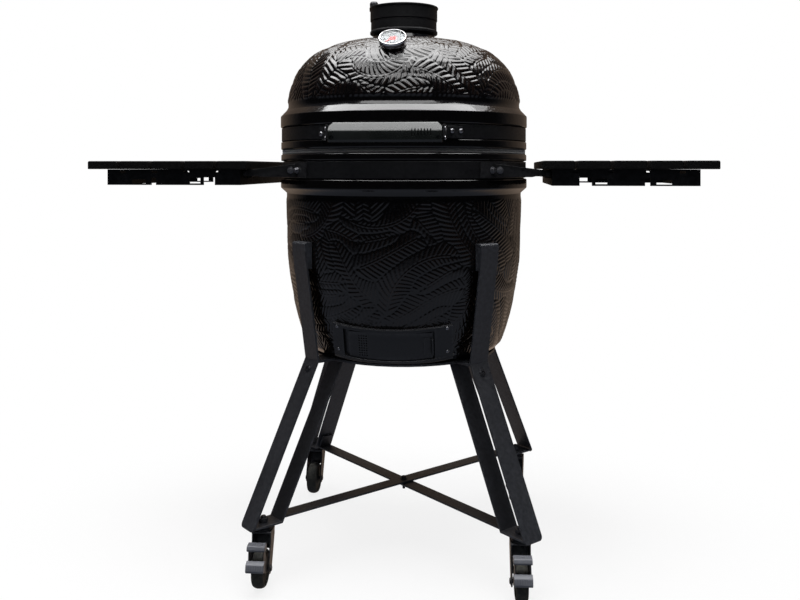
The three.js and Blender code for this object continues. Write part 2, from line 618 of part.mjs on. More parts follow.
function casterFork({ stem, slab, pair, axle }) {
  const cheek = [[-17, 103], [-17, 92], [TRAIL - 12, WHEEL_R - 3], ...axleArc(11, 195, 345),
    [TRAIL + 12, WHEEL_R + 4], [17, 90], [17, 103]];
  const bridge = rect(span(0, 17), [102, 106]);
  const web = [[-17, 103], [-17, 92], [-8.2, 73.2], [-4.8, 73.2], [-13, 91], [-13, 103]];
  const stemRod = (zs, r, segments) => rodZ(stem.x, stem.y, zs, r, segments);
  return union(pair(cheek, [16.5, 19.5]), slab(bridge, span(0, 19.5)), slab(web, span(0, 17)),
    stemRod([105, 115.4], 17, 16), stemRod([112, 133], STEM_R, 12),
    stemRod([PLATE_Z1 + GAP, 128.5], 10, 6), axle(22.5, AXLE_R));
}

function casterWheel({ back, at }) {
  const treadHalf = WHEEL_HALF - 4.5, faceR = 33.5;
  const tyre = turn([[AXLE_BORE_R, -WHEEL_HALF], [faceR, -WHEEL_HALF], [WHEEL_R, -treadHalf],
    [WHEEL_R, treadHalf], [faceR, WHEEL_HALF], [AXLE_BORE_R, WHEEL_HALF]], 24);
  const axleDir = new THREE.Vector3().crossVectors(back, Z_AXIS);
  return place(tyre, new THREE.Matrix4().makeBasis(back, Z_AXIS, axleDir)
    .setPosition(at(TRAIL, 0, WHEEL_R)));
}

// brake rocker: two cheeks beside the wheel and two paddles behind it
function casterPedal({ slab, pair, axle }) {
  const fromAxle = (points) => points.map(([u, z]) => [TRAIL + u, WHEEL_R + z]);
  const cheek = [...axleArc(7.5, 90, 300),
    ...fromAxle([[22, -1], [42, 9], [42, 30], [39, 52], [27, 52], [19, 34]])];
  const lower = fromAxle([[39.6, 13], [53, 12], [55, 17], [52, 28], [40.2, 34]]);
  const upper = fromAxle([[25, 48], [42, 49], [44, 53], [41, 59.5], [24, 61.5]]);
  return union(pair(cheek, [13.1, 15.3]), slab(lower, span(0, 18)), slab(upper, span(0, 18)))
    .subtract(axle(30, AXLE_BORE_R));
}

for (const leg of LEGS) {
  const frame = casterFrame(leg);
  piece(`caster_fork_${leg.name}`, casterFork(frame), 'black_steel');
  piece(`caster_wheel_${leg.name}`, casterWheel(frame), 'rubber');
  if (leg.name.startsWith('front')) {
    piece(`caster_pedal_${leg.name}`, casterPedal(frame), 'pedal');
  }
}

export default group;
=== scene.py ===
import math

import bpy
import bmesh
import numpy as np
from mathutils import Matrix, Quaternion, Vector


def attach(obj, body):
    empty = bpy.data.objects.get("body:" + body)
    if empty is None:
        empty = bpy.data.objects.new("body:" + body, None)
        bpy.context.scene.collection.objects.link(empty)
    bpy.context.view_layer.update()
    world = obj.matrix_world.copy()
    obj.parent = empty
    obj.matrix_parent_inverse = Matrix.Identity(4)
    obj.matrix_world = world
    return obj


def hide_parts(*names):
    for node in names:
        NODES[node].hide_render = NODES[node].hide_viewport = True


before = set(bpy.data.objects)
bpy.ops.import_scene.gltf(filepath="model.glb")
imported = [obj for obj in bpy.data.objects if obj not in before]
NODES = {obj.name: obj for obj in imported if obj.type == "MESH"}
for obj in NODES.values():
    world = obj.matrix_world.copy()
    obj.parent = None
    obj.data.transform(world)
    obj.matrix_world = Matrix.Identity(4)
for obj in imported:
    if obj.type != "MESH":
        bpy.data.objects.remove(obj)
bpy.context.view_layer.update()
MM = 0.001

# =====================================================================  node material helpers
MATS = {}


class Tree:
    """A short way to write a node tree."""

    def __init__(self, name):
        self.mat = bpy.data.materials.new(name)
        self.mat.use_nodes = True
        self.nt = self.mat.node_tree
        self.nt.nodes.clear()
        self.out = self.nt.nodes.new("ShaderNodeOutputMaterial")
        self.bsdf = self.nt.nodes.new("ShaderNodeBsdfPrincipled")
        self.nt.links.new(self.bsdf.outputs[0], self.out.inputs[0])
        tc = self.nt.nodes.new("ShaderNodeTexCoord")
        self.co = tc.outputs["Object"]
        MATS[name] = self.mat

    def put(self, socket, value):
        if isinstance(value, bpy.types.NodeSocket):
            self.nt.links.new(value, socket)
        elif isinstance(value, (tuple, list)):
            socket.default_value = tuple(value) + ((1.0,) if len(value) == 3 and len(socket.default_value) == 4 else ())
        else:
            socket.default_value = value

    def set(self, **kw):
        for k, v in kw.items():
            self.put(self.bsdf.inputs[k.replace("_", " ")], v)

    def mapping(self, scale=(1, 1, 1), rot=(0, 0, 0), co=None):
        n = self.nt.nodes.new("ShaderNodeMapping")
        self.put(n.inputs["Vector"], co or self.co)
        n.inputs["Scale"].default_value = scale
        n.inputs["Rotation"].default_value = rot
        return n.outputs[0]

    def noise(self, size_mm, detail=3.0, rough=0.55, co=None, distortion=0.0):
        n = self.nt.nodes.new("ShaderNodeTexNoise")
        self.put(n.inputs["Vector"], co or self.co)
        n.inputs["Scale"].default_value = 1000.0 / size_mm
        n.inputs["Detail"].default_value = detail
        n.inputs["Roughness"].default_value = rough
        n.inputs["Distortion"].default_value = distortion
        return n.outputs["Fac"]

    def voronoi(self, size_mm, feature="F1", co=None, rand=1.0):
        n = self.nt.nodes.new("ShaderNodeTexVoronoi")
        n.feature = feature
        self.put(n.inputs["Vector"], co or self.co)
        n.inputs["Scale"].default_value = 1000.0 / size_mm
        n.inputs["Randomness"].default_value = rand
        return n.outputs["Distance"]

    def ramp(self, fac, *stops):
        n = self.nt.nodes.new("ShaderNodeValToRGB")
        self.put(n.inputs["Fac"], fac)
        els = n.color_ramp.elements
        while len(els) < len(stops):
            els.new(0.5)
        for e, (p, c) in zip(els, stops):
            e.position = p
            e.color = (c, c, c, 1) if not isinstance(c, (tuple, list)) else tuple(c) + (1,)
        return n.outputs["Color"]

    def range(self, v, a, b, c, d):
        n = self.nt.nodes.new("ShaderNodeMapRange")
        self.put(n.inputs["Value"], v)
        for k, x in zip(("From Min", "From Max", "To Min", "To Max"), (a, b, c, d)):
            n.inputs[k].default_value = x
        return n.outputs[0]

    def math(self, op, a, b=0.0):
        n = self.nt.nodes.new("ShaderNodeMath")
        n.operation = op
        self.put(n.inputs[0], a)
        self.put(n.inputs[1], b)
        return n.outputs[0]

    def mix(self, fac, a, b):
        n = self.nt.nodes.new("ShaderNodeMix")
        n.data_type = "RGBA"
        self.put(n.inputs["Factor"], fac)
        ins = [i for i in n.inputs if i.type == "RGBA"]
        self.put(ins[0], a)
        self.put(ins[1], b)
        return [o for o in n.outputs if o.type == "RGBA"][0]

    def bump(self, height, dist_mm, strength=1.0, normal=None):
        n = self.nt.nodes.new("ShaderNodeBump")
        self.put(n.inputs["Height"], height)
        n.inputs["Distance"].default_value = dist_mm * MM
        n.inputs["Strength"].default_value = strength
        if normal is not None:
            self.put(n.inputs["Normal"], normal)
        return n.outputs[0]

    def attr(self, name):
        n = self.nt.nodes.new("ShaderNodeAttribute")
        n.attribute_name = name
        return n.outputs["Fac"]

    def pointiness(self):
        return self.nt.nodes.new("ShaderNodeNewGeometry").outputs["Pointiness"]

    def facing(self, blend=0.5):
        n = self.nt.nodes.new("ShaderNodeLayerWeight")
        n.inputs["Blend"].default_value = blend
        return n.outputs["Facing"]


def coated_metal(name, base, worn, rough, grain_mm, grain_depth, metallic=0.0, spread=0.10, wear=0.5, spec=0.5):
    """Powder coat or paint on metal: fine orange-peel, cloudy gloss, and paler rubbed edges."""
    t = Tree(name)
    cloud = t.noise(90, 4)
    fine = t.noise(grain_mm, 2)
    mid = t.noise(grain_mm * 6, 3)
    edge = t.ramp(t.pointiness(), (0.50, 0.0), (0.56, wear))
    edge = t.math("MULTIPLY", edge, t.range(t.noise(7, 4), 0.35, 0.65, 0.25, 1.0))
    dust = t.range(cloud, 0.3, 0.7, 0.0, 0.35)
    col = t.mix(dust, base, tuple(min(1, c * 1.5 + 0.0008) for c in base))
    col = t.mix(edge, col, worn)
    t.bsdf.inputs["Specular IOR Level"].default_value = spec
    t.set(Base_Color=col, Roughness=t.math("ADD", t.range(mid, 0.3, 0.7, rough - spread, rough + spread), t.range(cloud, 0.3, 0.7, -0.04, 0.05)),
          Metallic=metallic, Normal=t.bump(fine, grain_depth, 0.6, t.bump(mid, grain_depth * 1.5, 0.35)))
    return t.mat


# ---- glazed ceramic
def glaze_material():
    t = Tree("glaze_black")
    relief = t.attr("relief")
    cloud = t.noise(70, 4)
    mottled = t.noise(9, 3)
    speck = t.ramp(t.voronoi(6.5), (0.05, 1.0), (0.16, 0.0))
    thin = t.math("MULTIPLY", t.ramp(relief, (0.55, 0.0), (0.95, 1.0)), t.range(cloud, 0.35, 0.7, 0.15, 1.0))
    col = t.mix(thin, (0.0026, 0.0022, 0.0023), (0.013, 0.0062, 0.0034))
    col = t.mix(t.math("MULTIPLY", speck, t.range(mottled, 0.45, 0.7, 0.0, 0.55)), col, (0.030, 0.016, 0.008))
    # painted reflection: a brown tint that rises towards grazing view angles stands in for the pale rim reflection
    # along the glaze's silhouette
    col = t.mix(t.range(t.facing(0.35), 0.55, 1.0, 0.0, 0.55), col, (0.020, 0.010, 0.0055))
    rough = t.math("ADD", t.range(mottled, 0.3, 0.7, 0.07, 0.19), t.math("MULTIPLY", relief, 0.03))
    n1 = t.bump(t.noise(14, 2), 0.55, 0.55)
    n2 = t.bump(t.noise(4.2, 2), 0.16, 0.6, n1)
    n3 = t.bump(t.voronoi(9.0, "SMOOTH_F1"), 0.35, 0.35, n2)
    t.set(Base_Color=col, Roughness=rough, IOR=1.52, Normal=n3)
    t.set(Coat_Weight=0.25, Coat_Roughness=0.05)
    return t.mat


def firebrick_material():
    t = Tree("firebrick")
    cloud, fine, pore = t.noise(60, 5), t.noise(3, 3), t.voronoi(5)
    col = t.mix(t.range(cloud, 0.3, 0.7, 0, 1), (0.50, 0.41, 0.31), (0.66, 0.57, 0.45))
    soot = t.math("MULTIPLY", t.range(t.noise(110, 5), 0.4, 0.65, 0, 1), 0.55)
    col = t.mix(soot, col, (0.16, 0.13, 0.11))
    pits = t.ramp(pore, (0.05, 0.0), (0.22, 1.0))
    t.set(Base_Color=col, Roughness=0.92, Normal=t.bump(fine, 0.5, 0.6, t.bump(pits, 0.6, 0.4)))
    return t.mat


def ceramic_inside_material():
    t = Tree("ceramic_bisque")
    cloud, fine = t.noise(80, 5), t.noise(2.5, 3)
    col = t.mix(t.range(cloud, 0.3, 0.7, 0, 1), (0.30, 0.25, 0.20), (0.42, 0.36, 0.29))
    soot = t.range(t.noise(140, 5), 0.35, 0.65, 0.15, 0.85)
    col = t.mix(soot, col, (0.055, 0.045, 0.038))
    t.set(Base_Color=col, Roughness=0.88, Normal=t.bump(fine, 0.35, 0.6, t.bump(t.noise(20, 3), 0.9, 0.4)))
    return t.mat


def felt_material():
    t = Tree("felt_gasket")
    fib = t.noise(1.1, 5, 0.7, distortion=1.5)
    tuft = t.noise(6, 4)
    col = t.mix(t.range(fib, 0.3, 0.7, 0, 1), (0.012, 0.012, 0.012), (0.07, 0.068, 0.065))
    t.set(Base_Color=col, Roughness=0.98, Sheen_Weight=0.35, Normal=t.bump(fib, 0.6, 0.9, t.bump(tuft, 0.7, 0.6)))
    return t.mat


def cast_iron_material(name, base, hi, rough=0.62, spec=0.5, metallic=0.35):
    t = Tree(name)
    sand, grit, cloud = t.noise(2.2, 5, 0.65), t.voronoi(1.6), t.noise(45, 4)
    edge = t.math("MULTIPLY", t.ramp(t.pointiness(), (0.50, 0.0), (0.57, 0.6)), t.range(t.noise(5, 4), 0.35, 0.65, 0.2, 1.0))
    col = t.mix(t.range(cloud, 0.3, 0.7, 0, 1), base, tuple(c * 1.6 for c in base))
    col = t.mix(edge, col, hi)
    t.bsdf.inputs["Specular IOR Level"].default_value = spec
    t.set(Base_Color=col, Metallic=metallic, Roughness=t.range(sand, 0.3, 0.7, rough - 0.1, rough + 0.14),
          Normal=t.bump(sand, 0.35, 0.75, t.bump(grit, 0.22, 0.4)))
    return t.mat


def steel_material(name, base, rough, brush=(1, 1, 1), metallic=1.0):
    t = Tree(name)
    streak = t.noise(0.9, 4, 0.6, co=t.mapping(brush))
    cloud = t.noise(35, 4)
    col = t.mix(t.range(cloud, 0.3, 0.7, 0, 0.6), base, tuple(c * 0.72 for c in base))
    t.set(Base_Color=col, Metallic=metallic, Roughness=t.math("ADD", t.range(streak, 0.3, 0.7, rough - 0.07, rough + 0.10), t.range(cloud, 0.3, 0.7, -0.02, 0.05)),
          Normal=t.bump(streak, 0.05, 0.5))
    return t.mat


def slat_material():
    """Black stained board: fibres along Y, broad figure and a dull sheen."""
    t = Tree("slat_board")
    fibre = t.noise(1.3, 5, 0.65, co=t.mapping((1, 0.035, 1)), distortion=0.6)
    figure = t.noise(16, 4, 0.6, co=t.mapping((1, 0.10, 1)), distortion=1.6)
    pore = t.ramp(t.noise(0.8, 2, 0.5, co=t.mapping((1, 0.06, 1))), (0.36, 0.0), (0.46, 1.0))
    col = t.mix(t.range(figure, 0.35, 0.65, 0, 1), (0.0012, 0.0012, 0.0013), (0.0030, 0.0029, 0.0029))
    col = t.mix(t.range(fibre, 0.35, 0.7, 0, 0.6), col, (0.0075, 0.0070, 0.0068))
    t.bsdf.inputs["Specular IOR Level"].default_value = 0.10
    t.set(Base_Color=col, Roughness=t.range(fibre, 0.3, 0.7, 0.42, 0.66),
          Normal=t.bump(pore, 0.14, 0.7, t.bump(fibre, 0.22, 0.6)))
    return t.mat


def rubber_material():
    t = Tree("wheel_rubber")
    fine, scuff = t.noise(1.4, 4), t.noise(11, 5, 0.65)
    col = t.mix(t.range(scuff, 0.42, 0.68, 0, 1), (0.014, 0.014, 0.012), (0.060, 0.058, 0.046))
    t.set(Base_Color=col, Roughness=t.range(scuff, 0.3, 0.7, 0.62, 0.86), Normal=t.bump(fine, 0.12, 0.6, t.bump(scuff, 0.2, 0.4)))
    return t.mat


def plastic_material(name, base, alt, rough, grain=0.9, depth=0.05, spec=0.5):
    t = Tree(name)
    fine, cloud = t.noise(grain, 2), t.noise(40, 4)
    edge = t.ramp(t.pointiness(), (0.50, 0.0), (0.58, 0.35))
    col = t.mix(t.range(cloud, 0.3, 0.7, 0, 1), base, alt)
    col = t.mix(edge, col, tuple(min(1, c * 1.8 + 0.01) for c in base))
    t.set(Base_Color=col, Roughness=t.range(cloud, 0.3, 0.7, rough - 0.05, rough + 0.08), Normal=t.bump(fine, depth, 0.6))
    t.bsdf.inputs["Specular IOR Level"].default_value = spec
    return t.mat


def glass_material():
    t = Tree("dial_glass")
    smear = t.noise(18, 4)
    t.set(Base_Color=(0.96, 0.98, 0.98), Roughness=t.range(smear, 0.35, 0.7, 0.0, 0.06), IOR=1.10, Transmission_Weight=1.0)
    nt = t.nt
    lp = nt.nodes.new("ShaderNodeLightPath")
    tr = nt.nodes.new("ShaderNodeBsdfTransparent")
    mx = nt.nodes.new("ShaderNodeMixShader")
    nt.links.new(lp.outputs["Is Shadow Ray"], mx.inputs[0])
    nt.links.new(t.bsdf.outputs[0], mx.inputs[1])
    nt.links.new(tr.outputs[0], mx.inputs[2])
    nt.links.new(mx.outputs[0], t.out.inputs[0])
    return t.mat


GLAZE = glaze_material()
BISQUE = ceramic_inside_material()
BRICK = firebrick_material()
FELT = felt_material()
BAND = coated_metal("band_coat", (0.0042, 0.0042, 0.0047), (0.040, 0.040, 0.043), 0.38, 0.9, 0.05, 0.0, spec=0.26)
STAND = coated_metal("stand_coat", (0.0120, 0.0125, 0.0150), (0.09, 0.095, 0.11), 0.42, 0.8, 0.09, 0.1, spec=0.85)
TRAY = coated_metal("tray_coat", (0.0018, 0.0018, 0.0020), (0.016, 0.016, 0.018), 0.5, 0.9, 0.06, 0.0, spec=0.12)
CASTER = coated_metal("caster_plate", (0.014, 0.0145, 0.0165), (0.12, 0.12, 0.13), 0.36, 1.2, 0.05, 0.3)
CAP = cast_iron_material("cast_cap", (0.0022, 0.0022, 0.0026), (0.016, 0.016, 0.018), 0.50, 0.16, 0.0)
IRON = cast_iron_material("cast_grate", (0.035, 0.033, 0.031), (0.12, 0.10, 0.085), 0.68)
STEEL = steel_material("bright_steel", (0.58, 0.58, 0.59), 0.27, (1, 0.05, 1))
CHROME = steel_material("bezel_chrome", (0.80, 0.80, 0.81), 0.12)
BOLT = steel_material("bolt_zinc", (0.36, 0.36, 0.38), 0.30)
BOLT_DARK = steel_material("bolt_black", (0.045, 0.045, 0.05), 0.38, metallic=0.7)
GRIP = plastic_material("grip_moulded", (0.0062, 0.0076, 0.0067), (0.0085, 0.0104, 0.0092), 0.27, 0.7, 0.035, spec=0.62)
PEDAL = plastic_material("pedal_moulded", (0.105, 0.108, 0.122), (0.150, 0.154, 0.172), 0.38, 0.8, 0.05)
VENT = coated_metal("vent_coat", (0.0085, 0.0087, 0.0102), (0.06, 0.06, 0.065), 0.40, 0.9, 0.05, 0.1, spec=0.6)
DIAL = plastic_material("dial_face", (0.085, 0.087, 0.09), (0.11, 0.112, 0.115), 0.6, 0.5, 0.01, spec=0.03)
DIAL_INK = plastic_material("dial_ink", (0.02, 0.02, 0.02), (0.03, 0.03, 0.03), 0.6, 0.5, 0.01, spec=0.05)
RED = plastic_material("needle_red", (0.40, 0.02, 0.02), (0.46, 0.03, 0.03), 0.5, 0.5, 0.01, spec=0.1)
SLAT = slat_material()
RUBBER = rubber_material()
GLASS = glass_material()

# =====================================================================  mesh helpers
X, Y, Z = Vector((1, 0, 0)), Vector((0, 1, 0)), Vector((0, 0, 1))


def rdir(az):
    a = math.radians(az)
    return Vector((math.sin(a), -math.cos(a), 0))


def add_piece(name, me, mats, body, replaces=(), weighted=True):
    o = bpy.data.objects.new(name, me)
    bpy.context.scene.collection.objects.link(o)
    for m in mats if isinstance(mats, (list, tuple)) else [mats]:
        me.materials.append(m)
    if weighted:
        w = o.modifiers.new("weighted", "WEIGHTED_NORMAL")
        w.keep_sharp = True
    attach(o, body)
    if replaces:
        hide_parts(*replaces)
    return o


def big_mesh(name, verts, quads, mat_index=None, smooth=True):
    """Mesh from numpy arrays (metres)."""
    me = bpy.data.meshes.new(name)
    n, m = len(verts), len(quads)
    me.vertices.add(n)
    me.vertices.foreach_set("co", np.ascontiguousarray(verts, np.float32).ravel())
    me.loops.add(m * 4)
    me.loops.foreach_set("vertex_index", np.ascontiguousarray(quads, np.int32).ravel())
    me.polygons.add(m)
    me.polygons.foreach_set("loop_start", np.arange(0, m * 4, 4, dtype=np.int32))
    me.polygons.foreach_set("loop_total", np.full(m, 4, np.int32))
    me.polygons.foreach_set("use_smooth", np.full(m, smooth))
    if mat_index is not None:
        me.polygons.foreach_set("material_index", np.ascontiguousarray(mat_index, np.int32))
    me.update(calc_edges=True)
    me.validate()
    return me


def fillet(points, radius, seg=4, closed=True):
    """Rounds the corners of a 2-D polyline. radius: one number or one for each point."""
    n = len(points)
    rs = radius if isinstance(radius, (list, tuple)) else [radius] * n
    out = []
    for i, p in enumerate(points):
        if (not closed and i in (0, n - 1)) or rs[i] <= 0:
            out.append(tuple(p))
            continue
        a, b = np.array(points[i - 1], float), np.array(points[(i + 1) % n], float)
        c = np.array(p, float)
        u, v = a - c, b - c
        lu, lv = np.linalg.norm(u), np.linalg.norm(v)
        u, v = u / lu, v / lv
        ang = math.acos(max(-1, min(1, float(u @ v))))
        if ang > math.pi - 0.02:
            out.append(tuple(p))
            continue
        t = min(rs[i] / math.tan(ang / 2), lu * 0.48, lv * 0.48)
        r = t * math.tan(ang / 2)
        mid = (u + v) / np.linalg.norm(u + v)
        centre = c + mid * (r / math.sin(ang / 2))
        s, e = c + u * t - centre, c + v * t - centre
        a0, a1 = math.atan2(s[1], s[0]), math.atan2(e[1], e[0])
        d = (a1 - a0 + math.pi) % (2 * math.pi) - math.pi
        for k in range(seg + 1):
            a = a0 + d * k / seg
            out.append((centre[0] + r * math.cos(a), centre[1] + r * math.sin(a)))
    return out


def lathe_mesh(name, profile, n=128, matrix=None, mat_of=None):
    """Closed (r, z) profile in mm turned about Z. Points with r = 0 end the profile on the axis."""
    pts = list(profile)
    axis_ends = pts[0][0] <= 1e-6 and pts[-1][0] <= 1e-6
    bm = bmesh.new()
    rings = []
    for r, z in pts:
        if r <= 1e-6:
            rings.append([bm.verts.new((0, 0, z * MM))])
        else:
            rings.append([bm.verts.new((r * MM * math.sin(2 * math.pi * k / n), -r * MM * math.cos(2 * math.pi * k / n), z * MM)) for k in range(n)])
    count = len(rings)
    for i in range(count - 1 if axis_ends else count):
        a, b = rings[i], rings[(i + 1) % count]
        for k in range(n):
            k2 = (k + 1) % n
            if len(a) == 1 and len(b) == 1:
                continue
            if len(a) == 1:
                f = bm.faces.new((a[0], b[k2], b[k]))
            elif len(b) == 1:
                f = bm.faces.new((a[k], a[k2], b[0]))
            else:
                f = bm.faces.new((a[k], a[k2], b[k2], b[k]))
            if mat_of:
                f.material_index = mat_of(i)
    bmesh.ops.recalc_face_normals(bm, faces=bm.faces)
    return finish_bm(bm, name, matrix)


def finish_bm(bm, name, matrix=None, sharp=38.0):
    if matrix is not None:
        bm.transform(matrix)
    bm.normal_update()
    lim = math.radians(sharp)
    for f in bm.faces:
        f.smooth = True
    for e in bm.edges:
        if len(e.link_faces) == 2:
            e.smooth = e.calc_face_angle(0.0) < lim
    me = bpy.data.meshes.new(name)
    bm.to_mesh(me)
    bm.free()
    return me


def prism_bm(points, depth, xa, ya, origin, bevel=0.0, seg=2):
    """Polygon (mm) in a plane, drawn out by depth about origin along xa x ya, edges rounded."""
    bm = bmesh.new()
    za = xa.cross(ya)
    lo = [bm.verts.new((origin + xa * p[0] + ya * p[1] - za * depth / 2) * MM) for p in points]
    hi = [bm.verts.new((origin + xa * p[0] + ya * p[1] + za * depth / 2) * MM) for p in points]
    n = len(points)
    bm.faces.new(lo[::-1])
    bm.faces.new(hi)
    for i in range(n):
        bm.faces.new((lo[i], lo[(i + 1) % n], hi[(i + 1) % n], hi[i]))
    bmesh.ops.recalc_face_normals(bm, faces=bm.faces)
    if bevel:
        es = [e for e in bm.edges if e.calc_face_angle(0.0) > math.radians(25)]
        bmesh.ops.bevel(bm, geom=es, offset=bevel * MM, segments=seg, profile=0.5, affect="EDGES", clamp_overlap=True)
    return bm


def join_bms(bms):
    out = bmesh.new()
    for b in bms:
        me = bpy.data.meshes.new("tmp")
        b.to_mesh(me)
        b.free()
        out.from_mesh(me)
        bpy.data.meshes.remove(me)
    return out


def box_bm(lo, hi, bevel=0.0, seg=2):
    c = [(a + b) / 2 for a, b in zip(lo, hi)]
    w, d, h = [(b - a) / 2 for a, b in zip(lo, hi)]
    return prism_bm([(-w, -d), (w, -d), (w, d), (-w, d)], 2 * h, X, Y, Vector(c), bevel, seg)


def frame_of(axis, origin, up=Z):
    """4x4 whose Z is axis, at origin (mm)."""
    z = Vector(axis).normalized()
    x = up.cross(z)
    if x.length < 1e-4:
        x = X.copy()
    x.normalize()
    y = z.cross(x)
    m = Matrix((x, y, z)).transposed().to_4x4()
    m.translation = Vector(origin) * MM
    return m


def lathe_bm(profile, n, matrix=None):
    me = lathe_mesh("tmp", profile, n, matrix)
    bm = bmesh.new()
    bm.from_mesh(me)
    bpy.data.meshes.remove(me)
    return bm


def hex_bolt(origin, axis, af=8.0, h=4.0, washer=True, spin=0.0):
    """Hexagon head on a washer, facing along axis, with a chamfered crown."""
    m = frame_of(axis, origin) @ Matrix.Rotation(spin, 4, "Z")
    r = af / math.sqrt(3)
    z0 = 1.2 if washer else 0.0
    hexa = [(r * math.cos(math.pi / 3 * i), r * math.sin(math.pi / 3 * i)) for i in range(6)]
    head = prism_bm(hexa, h, X, Y, Vector((0, 0, z0 + h / 2)), 0.5, 2)
    crown = lathe_bm([(0, z0 + h - 0.4), (af / 2 * 0.86, z0 + h - 0.4), (af / 2 * 0.80, z0 + h + 0.35), (0, z0 + h + 0.45)], 24)
    parts = [head, crown]
    if washer:
        parts.append(lathe_bm(fillet([(0.5, 0), (af * 0.82, 0), (af * 0.82, 1.2), (0.5, 1.2)], 0.3, 2), 28))
    bm = join_bms(parts)
    bm.transform(m)
    return bm


def pan_screw(origin, axis, r=4.2, h=2.2, spin=0.0):
    """Domed head with a cross recess made as two dark slots sunk in the crown."""
    m = frame_of(axis, origin) @ Matrix.Rotation(spin, 4, "Z")
    prof = [(0, 0), (r, 0), (r, 0.35 * h), (r * 0.93, 0.62 * h), (r * 0.75, 0.85 * h), (r * 0.48, h), (r * 0.42, h * 0.98), (r * 0.38, h * 0.5), (0, h * 0.45)]
    bm = lathe_bm(prof, 24)
    arms = [box_bm((-r * 0.36, -r * 0.09, h * 0.3), (r * 0.36, r * 0.09, h * 0.72), 0.05, 1), box_bm((-r * 0.09, -r * 0.36, h * 0.3), (r * 0.09, r * 0.36, h * 0.72), 0.05, 1)]
    bm = join_bms([bm] + arms)
    bm.transform(m)
    return bm


def bms_piece(name, bms, mat, body, replaces=(), sharp=38.0):
    return add_piece(name, finish_bm(join_bms(bms), name, None, sharp), mat, body, replaces)


def boolean(obj, cutters, op="DIFFERENCE"):
    """Cuts obj's mesh with helper meshes, and keeps only the result."""
    cut = bpy.data.objects.new("cutter", finish_bm(join_bms(cutters), "cutter"))
    bpy.context.scene.collection.objects.link(cut)
    mod = obj.modifiers.new("cut", "BOOLEAN")
    mod.operation, mod.object, mod.solver = op, cut, "EXACT"
    dg = bpy.context.evaluated_depsgraph_get()
    shown = [(m, m.show_viewport) for m in obj.modifiers if m.name != mod.name]
    for m, _ in shown:
        m.show_viewport = False
    bpy.context.view_layer.update()
    me = bpy.data.meshes.new_from_object(obj.evaluated_get(bpy.context.evaluated_depsgraph_get()))
    obj.modifiers.remove(mod)
    for m, s in shown:
        m.show_viewport = s
    print("cut", obj.name, len(obj.data.polygons), "->", len(me.polygons))
    old = obj.data
    obj.data = me
    bpy.data.meshes.remove(old)
    bpy.data.objects.remove(cut)
    bm = bmesh.new()
    bm.from_mesh(me)
    for f in bm.faces:
        f.smooth = True
    for e in bm.edges:
        if len(e.link_faces) == 2:
            e.smooth = e.calc_face_angle(0.0) < math.radians(34)
    bm.to_mesh(me)
    bm.free()


def dress(node, mat, bevel=0.8, seg=2, angle=30):
    """A CAD node that keeps its shape: its material, and rounded edges from modifiers."""
    o = NODES[node]
    o.data.materials.clear()
    o.data.materials.append(mat)
    for s in o.material_slots:
        s.material = mat
    w = o.modifiers.new("weld", "WELD")
    w.merge_threshold = 0.00002
    if bevel:
        p = o.modifiers.new("planar", "DECIMATE")
        p.decimate_type = "DISSOLVE"
        p.angle_limit = math.radians(1.0)
        b = o.modifiers.new("bevel", "BEVEL")
        b.width = bevel * MM
        b.segments = seg
        b.limit_method = "ANGLE"
        b.angle_limit = math.radians(angle)
        b.harden_normals = False
        b.miter_outer = "MITER_ARC"
        w2 = o.modifiers.new("weighted", "WEIGHTED_NORMAL")
        w2.keep_sharp = False
    for poly in o.data.polygons:
        poly.use_smooth = True
    return o


# =====================================================================  ceramics
def pchip(xs, ys, x):
    """Monotone cubic through points."""
    xs, ys = np.asarray(xs, float), np.asarray(ys, float)
    h = np.diff(xs)
    d = np.diff(ys) / h
    m = np.zeros_like(xs)
    for i in range(1, len(xs) - 1):
        if d[i - 1] * d[i] > 0:
            w1, w2 = 2 * h[i] + h[i - 1], h[i] + 2 * h[i - 1]
            m[i] = (w1 + w2) / (w1 / d[i - 1] + w2 / d[i])
    m[0], m[-1] = d[0], d[-1]
    i = np.clip(np.searchsorted(xs, x) - 1, 0, len(xs) - 2)
    t = (x - xs[i]) / h[i]
    return ((1 + 2 * t) * (1 - t) ** 2 * ys[i] + t * (1 - t) ** 2 * h[i] * m[i]
            + t * t * (3 - 2 * t) * ys[i + 1] + t * t * (t - 1) * h[i] * m[i + 1])


def resample(points, step):
    """Smooth curve through (r, z) points by chord length, cut at even steps."""
    p = np.array(points, float)
    s = np.concatenate([[0], np.cumsum(np.linalg.norm(np.diff(p, axis=0), axis=1))])
    fine = np.linspace(0, s[-1], 1200)
    r, z = pchip(s, p[:, 0], fine), pchip(s, p[:, 1], fine)
    L = np.concatenate([[0], np.cumsum(np.hypot(np.diff(r), np.diff(z)))])
    n = max(2, int(round(L[-1] / step)))
    at = np.linspace(0, L[-1], n + 1)
    return np.stack([np.interp(at, L, r), np.interp(at, L, z)], 1)


def smoothstep(a, b, x):
    t = np.clip((x - a) / (b - a), 0, 1)
    return t * t * (3 - 2 * t)


